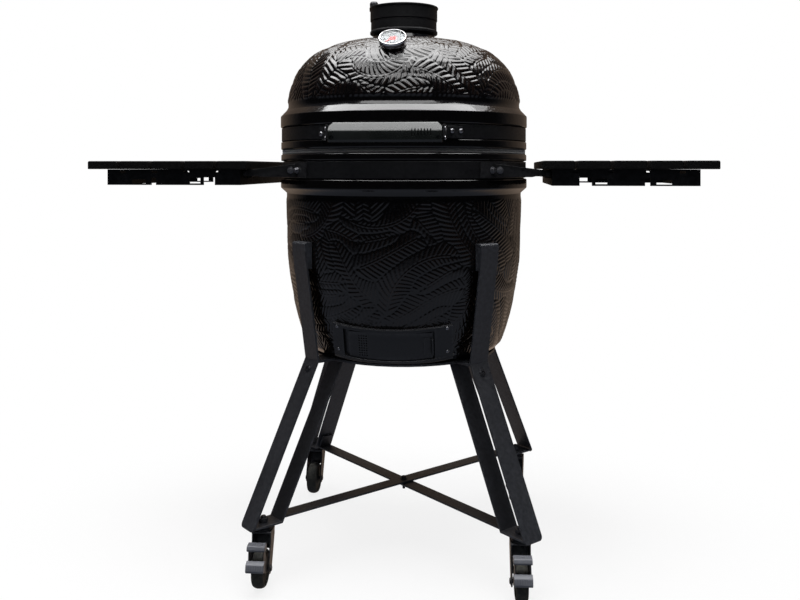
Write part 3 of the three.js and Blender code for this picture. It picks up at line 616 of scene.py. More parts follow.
def fern_relief(P, N, curve, seed, v_margin, tries, pitch, apart):
    """Height 0..1 of an embossed fern pattern at the points P (mm) with normals N.
    curve: (r, z) samples along the surface from which the ribs are laid out."""
    rng = np.random.default_rng(seed)
    V = np.concatenate([[0], np.cumsum(np.hypot(np.diff(curve[:, 0]), np.diff(curve[:, 1])))])
    vmax = V[-1]
    R = lambda v: np.interp(v, V, curve[:, 0])
    Zc = lambda v: np.interp(v, V, curve[:, 1])

    def trace(th, v, phi, length, k0, k1):
        n = int(length / 3.0) + 1
        pts = []
        for i in range(n):
            s = i / (n - 1)
            pts.append((R(v) * math.sin(th), -R(v) * math.cos(th), Zc(v)))
            phi += (k0 + (k1 - k0) * s) * 3.0
            th += math.cos(phi) * 3.0 / max(R(v), 20.0)
            v += math.sin(phi) * 3.0
            if v < v_margin[0] or v > vmax - v_margin[1]:
                break
        return np.array(pts)

    ribs, taken = [], np.zeros((0, 3))
    for i in range(tries):
        stage = i / tries
        length = rng.uniform(120, 190) if stage < 0.35 else (rng.uniform(75, 120) if stage < 0.7 else rng.uniform(36, 75))
        th, v = rng.uniform(-math.pi, math.pi), rng.uniform(v_margin[0] + 2, vmax - v_margin[1] - 2)
        k = rng.uniform(0.004, 0.013) * rng.choice([-1, 1])
        pts = trace(th, v, rng.uniform(0, 2 * math.pi), length, k, k * rng.uniform(-0.6, 1.4))
        if len(pts) * 3.0 < max(30, length * 0.72):
            continue
        if len(taken):
            d = np.sqrt(((pts[:, None, :] - taken[None, :, :]) ** 2).sum(-1)).min(1)
            need = np.full(len(pts), apart if stage < 0.7 else apart * 0.8)
            need[:4] = 9.0
            if (d < need).any():
                continue
        ribs.append(pts)
        taken = np.vstack([taken, pts])
    n = len(P)
    best, second = np.full(n, 1e3), np.full(n, 1e3)
    S, D, Lr, ID = np.zeros(n), np.zeros(n), np.ones(n), np.zeros(n)
    for idx, pts in enumerate(ribs):
        c = pts.mean(0)
        rad = np.linalg.norm(pts - c, axis=1).max() + 70.0
        sel = np.nonzero(((P - c) ** 2).sum(1) < rad * rad)[0]
        if not len(sel):
            continue
        Q = P[sel]
        d2 = (Q ** 2).sum(1)[:, None] + (pts ** 2).sum(1)[None, :] - 2 * Q @ pts.T
        j = d2.argmin(1)
        dist = np.sqrt(np.maximum(d2[np.arange(len(sel)), j], 0))
        T = np.gradient(pts, axis=0)
        T /= np.linalg.norm(T, axis=1)[:, None]
        w = Q - pts[j]
        along = (w * T[j]).sum(1)
        side = (w * np.cross(N[sel], T[j])).sum(1)
        s = j * 3.0 + along
        closer = dist < best[sel]
        second[sel] = np.where(closer, best[sel], np.minimum(second[sel], dist))
        k = sel[closer]
        best[k] = dist[closer]
        S[k], D[k], Lr[k], ID[k] = s[closer], side[closer], (len(pts) - 1) * 3.0, idx
    a = np.abs(D)
    q = (S - 0.62 * a - 0.0012 * a * a) / pitch + 0.37 * ID + 0.5 * (D < 0)
    t = np.abs(2 * (q - np.floor(q)) - 1)
    width = 1.0 - 0.30 * np.clip(best / 26.0, 0, 1) ** 2
    leaf = np.clip(1 - (t / width) ** 2.6, 0, 1) ** 0.75
    leaf *= 0.35 + 0.65 * smoothstep(1.3, 4.2, a)
    leaf *= smoothstep(0.2, 5.0, second - best) * 0.9 + 0.1
    leaf *= 1 - 0.25 * np.clip(best / 28.0, 0, 1)
    rib = np.exp(-(D / 1.7) ** 2) * smoothstep(-4, 3, S) * (1 - smoothstep(Lr - 2, Lr + 5, S))
    h = np.maximum(leaf * 0.9, rib * 1.05)
    h = np.where(best > 60, 0.25, h)
    return h, len(ribs)


def shell_mesh(name, rows, n_theta, relief_rows, curve, seed, amp, margin, tries, inside_from, closed, pitch, apart, hole=None):
    """Turned shell from (r, z) rows in mm, outside going up, then inside going down, with the ferns on a span of rows.
    hole: (first column, last column, outer row, inner row, row count) of an opening through the wall."""
    rows = np.asarray(rows, float)
    m, n = len(rows), n_theta
    th = np.arange(n) * 2 * math.pi / n
    tang = np.gradient(rows, axis=0)
    ln = np.hypot(tang[:, 0], tang[:, 1]) + 1e-9
    nr, nz = tang[:, 1] / ln, -tang[:, 0] / ln
    r, z = rows[:, 0], rows[:, 1]
    P = np.stack([r[:, None] * np.sin(th), -r[:, None] * np.cos(th), np.repeat(z[:, None], n, 1)], -1)
    N = np.stack([nr[:, None] * np.sin(th), -nr[:, None] * np.cos(th), np.repeat(nz[:, None], n, 1)], -1)
    relief = np.zeros((m, n))
    a, b = relief_rows
    h, count = fern_relief(P[a:b].reshape(-1, 3), N[a:b].reshape(-1, 3), curve, seed, margin, tries, pitch, apart)
    i = np.arange(b - a)
    relief[a:b] = h.reshape(b - a, n) * (smoothstep(0, 5, i) * smoothstep(0, 5, i[::-1]))[:, None]
    P = P + N * (relief * amp)[..., None]
    i, k = np.meshgrid(np.arange(m if closed else m - 1), np.arange(n), indexing="ij")
    i2, k2 = (i + 1) % m, (k + 1) % n
    quads = np.stack([i * n + k, i * n + k2, i2 * n + k2, i2 * n + k], -1)
    idx = np.repeat((np.arange(quads.shape[0]) >= inside_from).astype(int)[:, None], n, 1)
    use = np.ones(quads.shape[:2], bool)
    extra = []
    if hole:
        c0, c1, ro, ri, cnt = hole
        cols = np.arange(c0, c1)
        use[ro:ro + cnt, cols % n] = False
        use[ri:ri + cnt, cols % n] = False
        at = lambda row, col: row * n + col % n
        ring_o, ring_i = [], []
        top, bot = ro + cnt, ro
        itop, ibot = ri, ri + cnt
        for c in range(c0, c1 + 1):
            ring_o.append(at(bot, c)); ring_i.append(at(ibot, c))
        for q in range(1, cnt + 1):
            ring_o.append(at(bot + q, c1)); ring_i.append(at(ibot - q, c1))
        for c in range(c1 - 1, c0 - 1, -1):
            ring_o.append(at(top, c)); ring_i.append(at(itop, c))
        for q in range(cnt - 1, 0, -1):
            ring_o.append(at(bot + q, c0)); ring_i.append(at(ibot - q, c0))
        L = len(ring_o)
        extra = [(ring_o[j], ring_o[(j + 1) % L], ring_i[(j + 1) % L], ring_i[j]) for j in range(L)]
    quads, idx = quads[use], idx[use]
    if extra:
        quads, idx = np.vstack([quads, np.array(extra)]), np.concatenate([idx, np.ones(len(extra), int)])
    verts, rel = P.reshape(-1, 3), relief.reshape(-1)
    tris = np.zeros((0, 3), int)
    if not closed:
        verts = np.vstack([verts, [[0, 0, rows[0, 1]], [0, 0, rows[-1, 1]]]])
        rel = np.concatenate([rel, [0, 0]])
        k = np.arange(n)
        tris = np.vstack([np.stack([np.full(n, m * n), (k + 1) % n, k], -1),
                          np.stack([np.full(n, m * n + 1), (m - 1) * n + k, (m - 1) * n + (k + 1) % n], -1)])
    me = bpy.data.meshes.new(name)
    me.vertices.add(len(verts))
    me.vertices.foreach_set("co", (verts * MM).astype(np.float32).ravel())
    me.loops.add(len(quads) * 4 + len(tris) * 3)
    me.loops.foreach_set("vertex_index", np.concatenate([quads.ravel(), tris.ravel()]).astype(np.int32))
    total = np.concatenate([np.full(len(quads), 4), np.full(len(tris), 3)]).astype(np.int32)
    me.polygons.add(len(total))
    me.polygons.foreach_set("loop_start", np.concatenate([[0], np.cumsum(total)[:-1]]).astype(np.int32))
    me.polygons.foreach_set("loop_total", total)
    me.polygons.foreach_set("use_smooth", np.ones(len(total), bool))
    me.polygons.foreach_set("material_index", np.concatenate([idx, np.ones(len(tris), int)]).astype(np.int32))
    me.update(calc_edges=True)
    at = me.attributes.new("relief", "FLOAT", "POINT")
    at.data.foreach_set("value", rel.astype(np.float32))
    print(name, "ribs", count, "verts", len(me.vertices), "faces", len(me.polygons))
    return me


N_TH = 940
STEP = 1.75

# ---- bowl
BOWL_SIDE = [(208, 436), (217, 446), (225.6, 467), (232.7, 489.5), (238.8, 512), (243.6, 534), (247, 556.5), (251.4, 579), (254.5, 601),
             (257.3, 624), (258.7, 646), (259.4, 668), (259.6, 690), (260.6, 712), (261.3, 734), (261.5, 757), (261.8, 773)]
side = resample(BOWL_SIDE, STEP)
low = [(4, 430), (60, 430), (120, 430), (170, 430), (192, 430.2), (199, 431.2), (204, 433.2)]
shoulder = fillet([(261.8, 773), (274.6, 784.5), (274.6, 803.5), (268.4, 804.6), (268.4, 842.4), (274, 843.4), (274, 857.5), (246, 857.5), (246, 806), (236, 780)],
                  [0, 4.5, 3.0, 0.6, 0.6, 2.2, 3.4, 3.0, 6, 0], 5, closed=False)[1:]
inner_curve = [(236, 780), (233.5, 700), (228, 640), (222.5, 585), (216, 530), (206.5, 500), (199, 474), (185, 458)]
inner = resample(inner_curve, 13)
hole_rows = [i for i, p in enumerate(side) if 461 <= p[1] <= 492]
cnt = len(hole_rows) - 1
inner_hi = [p for p in inner if p[1] > 495]
zi = np.linspace(491, 462, cnt + 1)
ri = np.interp(zi, [p[1] for p in inner_curve[::-1]], [p[0] for p in inner_curve[::-1]])
inner_rows = [tuple(p) for p in inner_hi] + list(zip(ri, zi)) + [(185, 458), (178, 457.6), (120, 458), (60, 458), (4, 458)]
rows = low + [tuple(p) for p in side] + shoulder[:-1] + inner_rows
row0 = len(low)
ih = len(low) + len(side) + len(shoulder[:-1]) + len(inner_hi)
half_col = int(round(math.degrees(math.asin(60 / 228.0)) / 360 * N_TH))
inside_from = next(i for i, p in enumerate(rows) if i > row0 + len(side) + 10 and p[1] < 845 and p[0] < 247)
relief_a = row0 + next(i for i, p in enumerate(side) if p[1] > 441)
relief_b = row0 + next(i for i, p in enumerate(side) if p[1] > 767)
bowl_me = shell_mesh("bowl_glazed", rows, N_TH, (relief_a, relief_b), side, 41, 1.45, (6, 12), 5200, inside_from, False, 9.8, 26.0,
                     (-half_col, half_col, row0 + hole_rows[0], ih, cnt))
o = add_piece("bowl_glazed", bowl_me, [GLAZE, BISQUE], "base", ["bowl"], weighted=False)

# ---- lid
LID_SIDE = [(258.2, 964.5), (258.7, 974), (257.4, 980.5), (256.3, 987), (255, 994), (253, 1001), (251, 1007), (247.5, 1014), (245.4, 1021), (243, 1027.5), (239.6, 1034),
            (236, 1041), (231, 1047.5), (226, 1054), (219, 1061), (212, 1068), (206.5, 1072.5), (201, 1077), (192.6, 1082), (182, 1086), (172, 1091),
            (160.6, 1096), (144, 1100.5), (123.4, 1105), (105, 1108.2), (88, 1110.4)]
side = resample(LID_SIDE, STEP)
skirt = fillet([(246, 900), (246, 867), (274, 867), (274, 884), (268.4, 885), (268.4, 915), (275, 916.4), (275, 940.5), (262.5, 953.5), (258.6, 960)],
               [0, 3.0, 3.4, 2.2, 0.6, 0.6, 3.0, 3.6, 5, 0], 5, closed=False)
neck = fillet([(88, 1110.4), (71.5, 1112.5), (68, 1127), (48.5, 1127), (48.5, 1086)], [0, 5, 2.5, 2, 0], 4, closed=False)[1:]
lid_in = resample([(48.5, 1086), (110, 1081), (172, 1062), (212, 1032), (234, 980), (246, 925), (246, 902)], 14)
rows = skirt + [tuple(p) for p in side] + neck[:-1] + [tuple(p) for p in lid_in]
row0 = len(skirt)
inside_from = row0 + len(side) + len(neck) - 2
relief_a = row0 + next(i for i, p in enumerate(side) if p[1] > 967)
relief_b = row0 + next(i for i, p in enumerate(side) if p[0] < 112)
lid_me = shell_mesh("lid_glazed", rows, N_TH, (relief_a, relief_b), side, 17, 2.15, (3, 26), 5200, inside_from, True, 12.6, 32.0)
o = add_piece("lid_glazed", lid_me, [GLAZE, BISQUE], "lid", ["lid"], weighted=False)

# ---- gaskets, belts
def wavy_ring(name, r0, r1, z0, z1, body, node):
    rng = np.random.default_rng(5)
    prof = fillet([(r0, z0), (r1, z0), (r1, z1), (r0, z1)], 1.2, 3)
    me = lathe_mesh(name, prof, 300)
    co = np.zeros(len(me.vertices) * 3)
    me.vertices.foreach_get("co", co)
    co = co.reshape(-1, 3)
    rr = np.hypot(co[:, 0], co[:, 1])
    a = np.arctan2(co[:, 0], -co[:, 1])
    wob = sum(rng.uniform(0.05, 0.22) * np.sin(k * a + rng.uniform(0, 6)) for k in (7, 13, 23, 41))
    s = 1 - (0.35 + 0.5 * np.abs(wob)) * MM / rr
    co[:, 0] *= s
    co[:, 1] *= s
    me.vertices.foreach_set("co", co.ravel())
    me.update()
    return add_piece(name, me, FELT, body, [node])


wavy_ring("bowl_gasket_felt", 247, 272, 857.9, 862.05, "base", "bowl_gasket")
wavy_ring("lid_gasket_felt", 247, 272, 862.45, 866.6, "lid", "lid_gasket")


def belt(name, z0, z1, body, node):
    prof = fillet([(268.9, z0), (272.9, z0), (272.9, z1), (268.9, z1)], [0.5, 1.3, 1.3, 0.5], 4)
    return add_piece(name, lathe_mesh(name, prof, 320), BAND, body, [node])


belt("upper_belt_band", 885.6, 914.4, "lid", "upper_belt")
belt("lower_belt_band", 806.6, 840.9, "base", "lower_belt")


def arc_plate(r0, r1, a0, a1, z0, z1, bevel=0.5, seg=2, steps=None, corner=0.0):
    """A plate curved round the Z axis, angles in degrees, with rounded corners seen from the front."""
    rm = (r0 + r1) / 2
    w = math.radians(a1 - a0) * rm
    steps = steps or max(2, int(abs(a1 - a0) / 2.2))
    pts = [(-w / 2, z0), (w / 2, z0), (w / 2, z1), (-w / 2, z1)]
    bm = bmesh.new()
    if corner > 0:
        outline = fillet(pts, corner, 5)
    else:
        outline = pts
    xs = sorted(set([round(p[0], 4) for p in outline] + [round(-w / 2 + w * k / steps, 4) for k in range(steps + 1)]))

    def span(x):
        zs = []
        n = len(outline)
        for i in range(n):
            p, q = outline[i], outline[(i + 1) % n]
            if min(p[0], q[0]) - 1e-6 <= x <= max(p[0], q[0]) + 1e-6:
                if abs(p[0] - q[0]) < 1e-6:
                    zs += [p[1], q[1]]
                else:
                    zs.append(p[1] + (q[1] - p[1]) * (x - p[0]) / (q[0] - p[0]))
        return min(zs), max(zs)

    cols = []
    mid = math.radians((a0 + a1) / 2)
    for x in xs:
        lo, hi = span(x)
        a = mid + x / rm
        s, c = math.sin(a), -math.cos(a)
        cols.append([bm.verts.new((r * s * MM, r * c * MM, zz * MM)) for r, zz in ((r0, lo), (r1, lo), (r1, hi), (r0, hi))])
    for p, q in zip(cols, cols[1:]):
        for j in range(4):
            bm.faces.new((p[j], q[j], q[(j + 1) % 4], p[(j + 1) % 4]))
    bm.faces.new(cols[0])
    bm.faces.new(cols[-1][::-1])
    bmesh.ops.recalc_face_normals(bm, faces=bm.faces)
    if bevel:
        es = [e for e in bm.edges if e.calc_face_angle(0.0) > math.radians(50)]
        bmesh.ops.bevel(bm, geom=es, offset=bevel * MM, segments=seg, profile=0.5, affect="EDGES", clamp_overlap=True)
    return bm


def wall_plate(wall, d0, d1, a0, a1, z0, z1, steps=40, bevel=0.4, seg=2, rows_n=10):
    """A plate lying over a turned wall given by (r, z) points, at distances d0..d1 from it, between two angles and two heights."""
    zz = np.linspace(z0, z1, rows_n)
    wr = np.interp(zz, [p[1] for p in wall], [p[0] for p in wall])
    slope = np.gradient(wr, zz)
    nr = 1 / np.hypot(1, slope)
    nz = -slope / np.hypot(1, slope)
    bm = bmesh.new()
    th = np.radians(np.linspace(a0, a1, steps + 1))
    grid = {}
    for side_i, d in enumerate((d0, d1)):
        for i in range(rows_n):
            for k, a in enumerate(th):
                r, z = wr[i] + nr[i] * d, zz[i] + nz[i] * d
                grid[side_i, i, k] = bm.verts.new((r * math.sin(a) * MM, -r * math.cos(a) * MM, z * MM))
    for i in range(rows_n - 1):
        for k in range(steps):
            bm.faces.new((grid[1, i, k], grid[1, i, k + 1], grid[1, i + 1, k + 1], grid[1, i + 1, k]))
            bm.faces.new((grid[0, i, k], grid[0, i + 1, k], grid[0, i + 1, k + 1], grid[0, i, k + 1]))
    for k in range(steps):
        bm.faces.new((grid[0, 0, k], grid[0, 0, k + 1], grid[1, 0, k + 1], grid[1, 0, k]))
        t = rows_n - 1
        bm.faces.new((grid[0, t, k], grid[1, t, k], grid[1, t, k + 1], grid[0, t, k + 1]))
    for i in range(rows_n - 1):
        bm.faces.new((grid[0, i, 0], grid[1, i, 0], grid[1, i + 1, 0], grid[0, i + 1, 0]))
        bm.faces.new((grid[0, i, steps], grid[0, i + 1, steps], grid[1, i + 1, steps], grid[1, i, steps]))
    bmesh.ops.recalc_face_normals(bm, faces=bm.faces)
    if bevel:
        es = [e for e in bm.edges if e.calc_face_angle(0.0) > math.radians(50)]
        bmesh.ops.bevel(bm, geom=es, offset=bevel * MM, segments=seg, profile=0.5, affect="EDGES", clamp_overlap=True)
    return bm


# ---- firebox, fire ring, grates
prof = fillet([(95, 458.6), (150, 458.6), (172, 474), (186, 512), (203, 570), (214, 640), (220.6, 734.8),
               (198, 734.8), (193, 640), (176, 562), (160, 543.2), (140, 543.2), (130, 505), (95, 480)],
              [3, 4, 8, 8, 8, 8, 4, 4, 8, 8, 3, 3, 6, 4], 3)
o = add_piece("firebox_brick", lathe_mesh("firebox_brick", prof, 96), BRICK, "base", ["firebox"])
cut = [box_bm((-52, -235, 450), (52, -60, 497))]
for i in range(6):
    d = rdir(60 * i + 30)
    cut.append(lathe_bm([(0, 0), (9, 0), (9, 100), (0, 100)], 24, frame_of(d, d * 150 + Z * 605)))
boolean(o, cut)
prof = fillet([(200, 735.6), (222, 735.6), (227.8, 827.8), (205.2, 827.8)], 4, 4)
add_piece("fire_ring_brick", lathe_mesh("fire_ring_brick", prof, 96), BRICK, "base", ["fire_ring"])

grate = [lathe_bm(fillet([(141, 543.6), (151.8, 543.6), (151.8, 555.2), (141, 555.2)], 2, 3), 72)]
for i in range(-7, 8):
    x = i * 18
    half = math.sqrt(146 * 146 - x * x)
    grate.append(prism_bm(fillet([(-3.6, 544.6), (3.6, 544.6), (4.6, 554.4), (-4.6, 554.4)], 1.2, 2), 2 * half, X, Z, Vector((x, 0, 0))))
bms_piece("charcoal_grate_cast", grate, IRON, "base", ["charcoal_grate"])


def rod_bm(a, b, r, n=12, ends=True):
    a, b = Vector(a), Vector(b)
    L = (b - a).length
    prof = [(0, 0), (r * 0.7, 0), (r, r * 0.3), (r, L - r * 0.3), (r * 0.7, L), (0, L)]
    return lathe_bm(prof, n, frame_of(b - a, a, Z if abs((b - a).normalized().z) < 0.9 else X))


def ring_bm(R, z, r, n=160, m=10):
    prof = [(R + r * math.cos(2 * math.pi * k / m), z + r * math.sin(2 * math.pi * k / m)) for k in range(m)]
    return lathe_bm(prof, n)


grid_parts = [ring_bm(223.2, 831.9, 2.8), ring_bm(150, 829.9, 1.5, 120, 8)]
for i in range(-17, 18):
    x = i * 12.5
    half = math.sqrt(222.5 ** 2 - x * x)
    grid_parts.append(rod_bm((x, -half, 832.6), (x, half, 832.6), 2.1, 10))
for y in (-95, 0, 95):
    half = math.sqrt(222 ** 2 - y * y)
    grid_parts.append(rod_bm((-half, y, 829.6), (half, y, 829.6), 1.6, 10))
bms_piece("cooking_grate_rods", grid_parts, STEEL, "base", ["cooking_grate"])

# ---- hinge at the back
def from_node(node):
    """The CAD node's faces joined up into flat faces, ready for finer work."""
    bm = bmesh.new()
    bm.from_mesh(NODES[node].data)
    bmesh.ops.remove_doubles(bm, verts=bm.verts, dist=2e-5)
    bmesh.ops.dissolve_limit(bm, angle_limit=math.radians(0.6), verts=bm.verts, edges=bm.edges)
    return bm


def soften(bm, width, seg=2, angle=28):
    es = [e for e in bm.edges if len(e.link_faces) == 2 and e.calc_face_angle(0.0) > math.radians(angle)]
    bmesh.ops.bevel(bm, geom=es, offset=width * MM, segments=seg, profile=0.5, affect="EDGES", clamp_overlap=True)
    return bm


def ear(r_round, x0, x1, base_y, z_lo, z_hi, cy, cz, bevel=0.8):
    """A hinge ear in the YZ plane: a plate edge at base_y between two heights, running to a round end about the pin."""
    pts = [(base_y, z_lo)]
    top = Vector((cy, cz))
    lo, hi = Vector((base_y, z_lo)), Vector((base_y, z_hi))

    def tangent(p, sign):
        d = top - p
        L = d.length
        a = math.asin(r_round / L)
        ang = math.atan2(d.y, d.x) + sign * a
        t = math.sqrt(L * L - r_round * r_round)
        return Vector((p.x + math.cos(ang) * t, p.y + math.sin(ang) * t))

    t0, t1 = tangent(lo, -1), tangent(hi, 1)
    a0, a1 = math.atan2(t0.y - cz, t0.x - cy), math.atan2(t1.y - cz, t1.x - cy)
    while a1 < a0:
        a1 += 2 * math.pi
    arc = [(cy + r_round * math.cos(a0 + (a1 - a0) * k / 16), cz + r_round * math.sin(a0 + (a1 - a0) * k / 16)) for k in range(17)]
    pts = [(base_y, z_lo)] + arc + [(base_y, z_hi)]
    return prism_bm(pts, x1 - x0, Y, Z, Vector(((x0 + x1) / 2, 0, 0)), bevel, 2)


lower = [prism_bm(fillet([(-60, 808), (60, 808), (60, 840), (-60, 840)], 4, 4), 4.4, X, Z, Vector((0, 275.6, 0)), 0.8, 2)]
upper = [prism_bm(fillet([(-45, 887), (45, 887), (45, 913), (-45, 913)], 4, 4), 4.0, X, Z, Vector((0, 275.4, 0)), 0.8, 2)]
for s in (-1, 1):
    x0, x1 = sorted((s * 47, s * 52))
    lower.append(ear(16.9, x0, x1, 275.5, 812, 839.5, 318, 862))
    x0, x1 = sorted((s * 37, s * 42))
    upper.append(ear(12.9, x0, x1, 275.5, 888, 912, 318, 862))
for x in (-24, 0, 24):
    lower.append(hex_bolt((x, 277.6, 824), Y, 9, 4.5, True, 0.2 * x))
for x in (-18, 18):
    upper.append(hex_bolt((x, 277.2, 900), Y, 9, 4.5, True, 0.1 * x))
bms_piece("hinge_lower_plate", lower, BAND, "base", ["hinge_lower"])
bms_piece("hinge_upper_plate", upper, BAND, "lid", ["hinge_upper"])
pin = lathe_bm(fillet([(0, -58), (5, -58), (5, 55.2), (8, 55.2), (8, 58), (0, 58)], [0, 0.8, 0, 0.4, 0.8, 0], 2, closed=False), 32,
               frame_of(X, Vector((0, 318, 862))))
clip = lathe_bm(fillet([(3.9, -56.4), (7.4, -56.4), (7.4, -55.2), (3.9, -55.2)], 0.2, 1), 32, frame_of(X, Vector((0, 318, 862))))
bms_piece("hinge_pin_steel", [pin, clip], BOLT, "base", ["hinge_pin"])

# ---- handle
grip_outline = fillet([(-331, 876), (-335, 880), (-335, 898), (-322, 914.6), (-315.5, 915), (-313, 912.5), (-313, 878.5), (-315.5, 876)],
                      [3, 3, 6, 6, 2.5, 2, 2, 2.5], 5)
bm = prism_bm(grip_outline, 218, Y, Z, Vector((0, 0, 0)), 2.2, 4)
grip = [bm]
bms_piece("handle_grip_moulded", grip, GRIP, "lid", ["handle_grip"], sharp=30)
grip_o = bpy.data.objects["handle_grip_moulded"]
cut = []
for k in range(7):
    x = 52 + k * 5.9
    cut.append(box_bm((x - 1.1, -342, 888), (x + 1.1, -332.0, 903.5), 0.6, 2))
for s in (-1, 1):
    cut.append(lathe_bm([(0, 0), (4.6, 0), (4.6, 6), (0, 6)], 20, frame_of(-Y, Vector((s * 101.5, -331.5, 885)))))
    b = box_bm((-9, -345, -9), (9, -300, 9), 0.5, 1)
    b.transform(Matrix.Translation(Vector((s * 110.5, 0, 916.5)) * MM) @ Matrix.Rotation(math.radians(45), 4, "Y"))
    cut.append(b)
boolean(grip_o, cut)

for side_name, s in (("left", -1), ("right", 1)):
    bm = from_node("handle_bracket_" + side_name)
    soften(bm, 0.7, 2)
    parts, plates = [bm], []
    for az, z in ((26.2, 900.3), (30.1, 900.3)) if s > 0 else ((26.6, 895.6), (30.2, 895.6)):
        d = rdir(s * az)
        plates.append(pan_screw(d * 278.4 + Z * z, d, 4.6, 2.8, 0.5))
    bms_piece("handle_bracket_" + side_name + "_plate", parts, BAND, "lid", ["handle_bracket_" + side_name])
    screws = plates
    for z in (884.0, 902.0):
        screws.append(pan_screw(Vector((s * 113.6, -324, z)), X * s, 4.2, 2.4, 0.4))
    bms_piece("handle_screws_" + side_name, screws, BOLT, "lid")

# ---- thermometer in the lid
TH_AXIS = Vector((0, -math.cos(math.radians(49)), math.sin(math.radians(49))))
TH_M = frame_of(TH_AXIS, (0, -201.3, 1082.8))
case = fillet([(0, -59.6), (3.9, -56), (3.9, -3), (8.9, -3), (8.9, 0), (26.4, 0.1), (28.0, 1.2), (29.2, 3.2), (29.2, 10.2), (28.8, 12.4), (27.6, 13.7), (26.5, 13.9), (25.75, 13.2), (25.75, 9.2), (0, 9.2)],
              [0, 2, 0, 0.5, 0.5, 0.6, 0.8, 1.2, 1.5, 1.0, 0.8, 0.5, 0.5, 0, 0], 3, closed=False)
bms_piece("thermometer_case_chrome", [lathe_bm(case, 96, TH_M)], CHROME, "lid", ["thermometer_case"])
dial = lathe_bm([(0, 9.25), (25.5, 9.25), (25.5, 9.45), (0, 9.45)], 64, TH_M)
bms_piece("thermometer_dial_face", [dial], DIAL, "lid")
ticks = []
for k in range(28):
    a = math.radians(225 - 10 * k)
    major = k % 3 == 0
    w, r0, r1 = (0.42, 19.2, 23.4) if major else (0.2, 21.2, 23.4)
    t = box_bm((r0, -w, 9.45), (r1, w, 9.52))
    t.transform(TH_M @ Matrix.Rotation(a, 4, "Z"))
    ticks.append(t)
arc = lathe_bm([(23.9, 9.45), (24.5, 9.45), (24.5, 9.5), (23.9, 9.5)], 64, TH_M)
ticks.append(arc)
for k, label in enumerate(("0", "100", "200", "300", "400")):
    a = math.radians(225 - 67.5 * k)
    cu = bpy.data.curves.new("n", "FONT")
    cu.body, cu.size, cu.extrude, cu.align_x, cu.align_y, cu.resolution_u = label, 5.0, 0.03, "CENTER", "CENTER", 3
    tmp = bpy.data.objects.new("n", cu)
    bpy.context.scene.collection.objects.link(tmp)
    me = bpy.data.meshes.new_from_object(tmp.evaluated_get(bpy.context.evaluated_depsgraph_get()))
    b = bmesh.new()
    b.from_mesh(me)
    b.transform(Matrix.Scale(MM, 4))
    b.transform(TH_M @ Matrix.Translation(Vector((15.0 * math.cos(a), 15.0 * math.sin(a), 9.48)) * MM))
    ticks.append(b)
    bpy.data.objects.remove(tmp)
    bpy.data.curves.remove(cu)
    bpy.data.meshes.remove(me)
bms_piece("thermometer_dial_marks", ticks, DIAL_INK, "lid")
zone = []
for k in range(9):
    t = box_bm((6.4, -0.62, 9.45), (8.4, 0.62, 9.5))
    t.transform(TH_M @ Matrix.Rotation(math.radians(60 - 10 * k), 4, "Z"))
    zone.append(t)
zone.append(lathe_bm([(0, 9.45), (6.6, 9.45), (6.6, 9.53), (0, 9.53)], 40, TH_M))
bms_piece("thermometer_dial_zone", zone, RED, "lid")
turned = TH_M @ Matrix.Rotation(math.radians(135), 4, "Z")
needle = prism_bm([(-1.1, -6), (1.1, -6), (1.5, 0), (0.35, 20.2), (-0.35, 20.2), (-1.5, 0)], 0.7, X, Y, Vector((0, 0, 10.1)), 0.12, 1)
needle.transform(turned)
hub = lathe_bm(fillet([(0, 9.6), (2.6, 9.6), (2.6, 11), (0, 11.1)], [0, 0, 0.5, 0], 2, closed=False), 24, turned)
bms_piece("thermometer_needle", [needle, hub], RED, "pointer", ["thermometer_pointer"])
lens = lathe_bm(fillet([(0, 11.7), (25.3, 11.7), (25.3, 12.4), (16, 12.95), (0, 13.15)], [0, 0.1, 0.2, 2, 0], 3, closed=False), 72, TH_M)
bms_piece("thermometer_glass", [lens], GLASS, "lid", ["thermometer_lens"])

# ---- cast top
def solid_union(bms, name="u"):
    """One clean solid from several overlapping ones."""
    first = bms[0]
    me = finish_bm(first, name)
    o = bpy.data.objects.new(name, me)
    bpy.context.scene.collection.objects.link(o)
    for b in bms[1:]:
        boolean(o, [b], "UNION")
    bm = bmesh.new()
    bm.from_mesh(o.data)
    old = o.data
    bpy.data.objects.remove(o)
    bpy.data.meshes.remove(old)
    return bm


base_prof = fillet([(50, 1127.5), (76, 1127.5), (76, 1133), (74, 1135.2), (73.9, 1156.1), (56, 1156.1), (56, 1136), (50, 1133)],
                   [1.2, 1.6, 1.4, 1.2, 0.9, 0.9, 3, 2], 3)
bms_piece("cap_base_cast", [lathe_bm(base_prof, 112)], CAP, "lid", ["cap_base"])
lid_prof = fillet([(66, 1156.7), (75.5, 1156.7), (75.5, 1183.2), (77.5, 1184.5), (77.5, 1188), (0, 1188), (0, 1181), (66, 1181)],
                  [1.0, 1.4, 0.8, 0.8, 1.3, 0, 0, 4], 4)
place_p = Matrix.Translation(Vector((-68, 0, 0)) * MM)
lobe = lathe_bm(fillet([(0, 1182), (10, 1182), (10, 1190.5), (0, 1190.5)], [0, 0.4, 1.6, 0], 3, closed=False), 40, place_p)
stub = lathe_bm([(0, 1187), (3, 1187), (3, 1192.8), (2.2, 1193.4), (0, 1193.4)], 24)
bm = solid_union([lathe_bm(lid_prof, 112), lobe, stub])
o = bms_piece("cap_lid_cast", [bm], CAP, "cap", ["cap_lid"])
cut = []
for i in range(6):
    d = rdir(60 * i)
    cut.append(lathe_bm([(0, 1160), (9, 1160), (9, 1200), (0, 1200)], 32, Matrix.Translation(Vector((34 * d.x, 34 * d.y, 0)) * MM)))
boolean(o, cut)
disc = lathe_bm(fillet([(3.4, 1188.45), (50, 1188.45), (50, 1191.6), (49, 1192.4), (3.4, 1192.4)], [0.2, 0.8, 1.2, 0.8, 0.2], 3), 88)
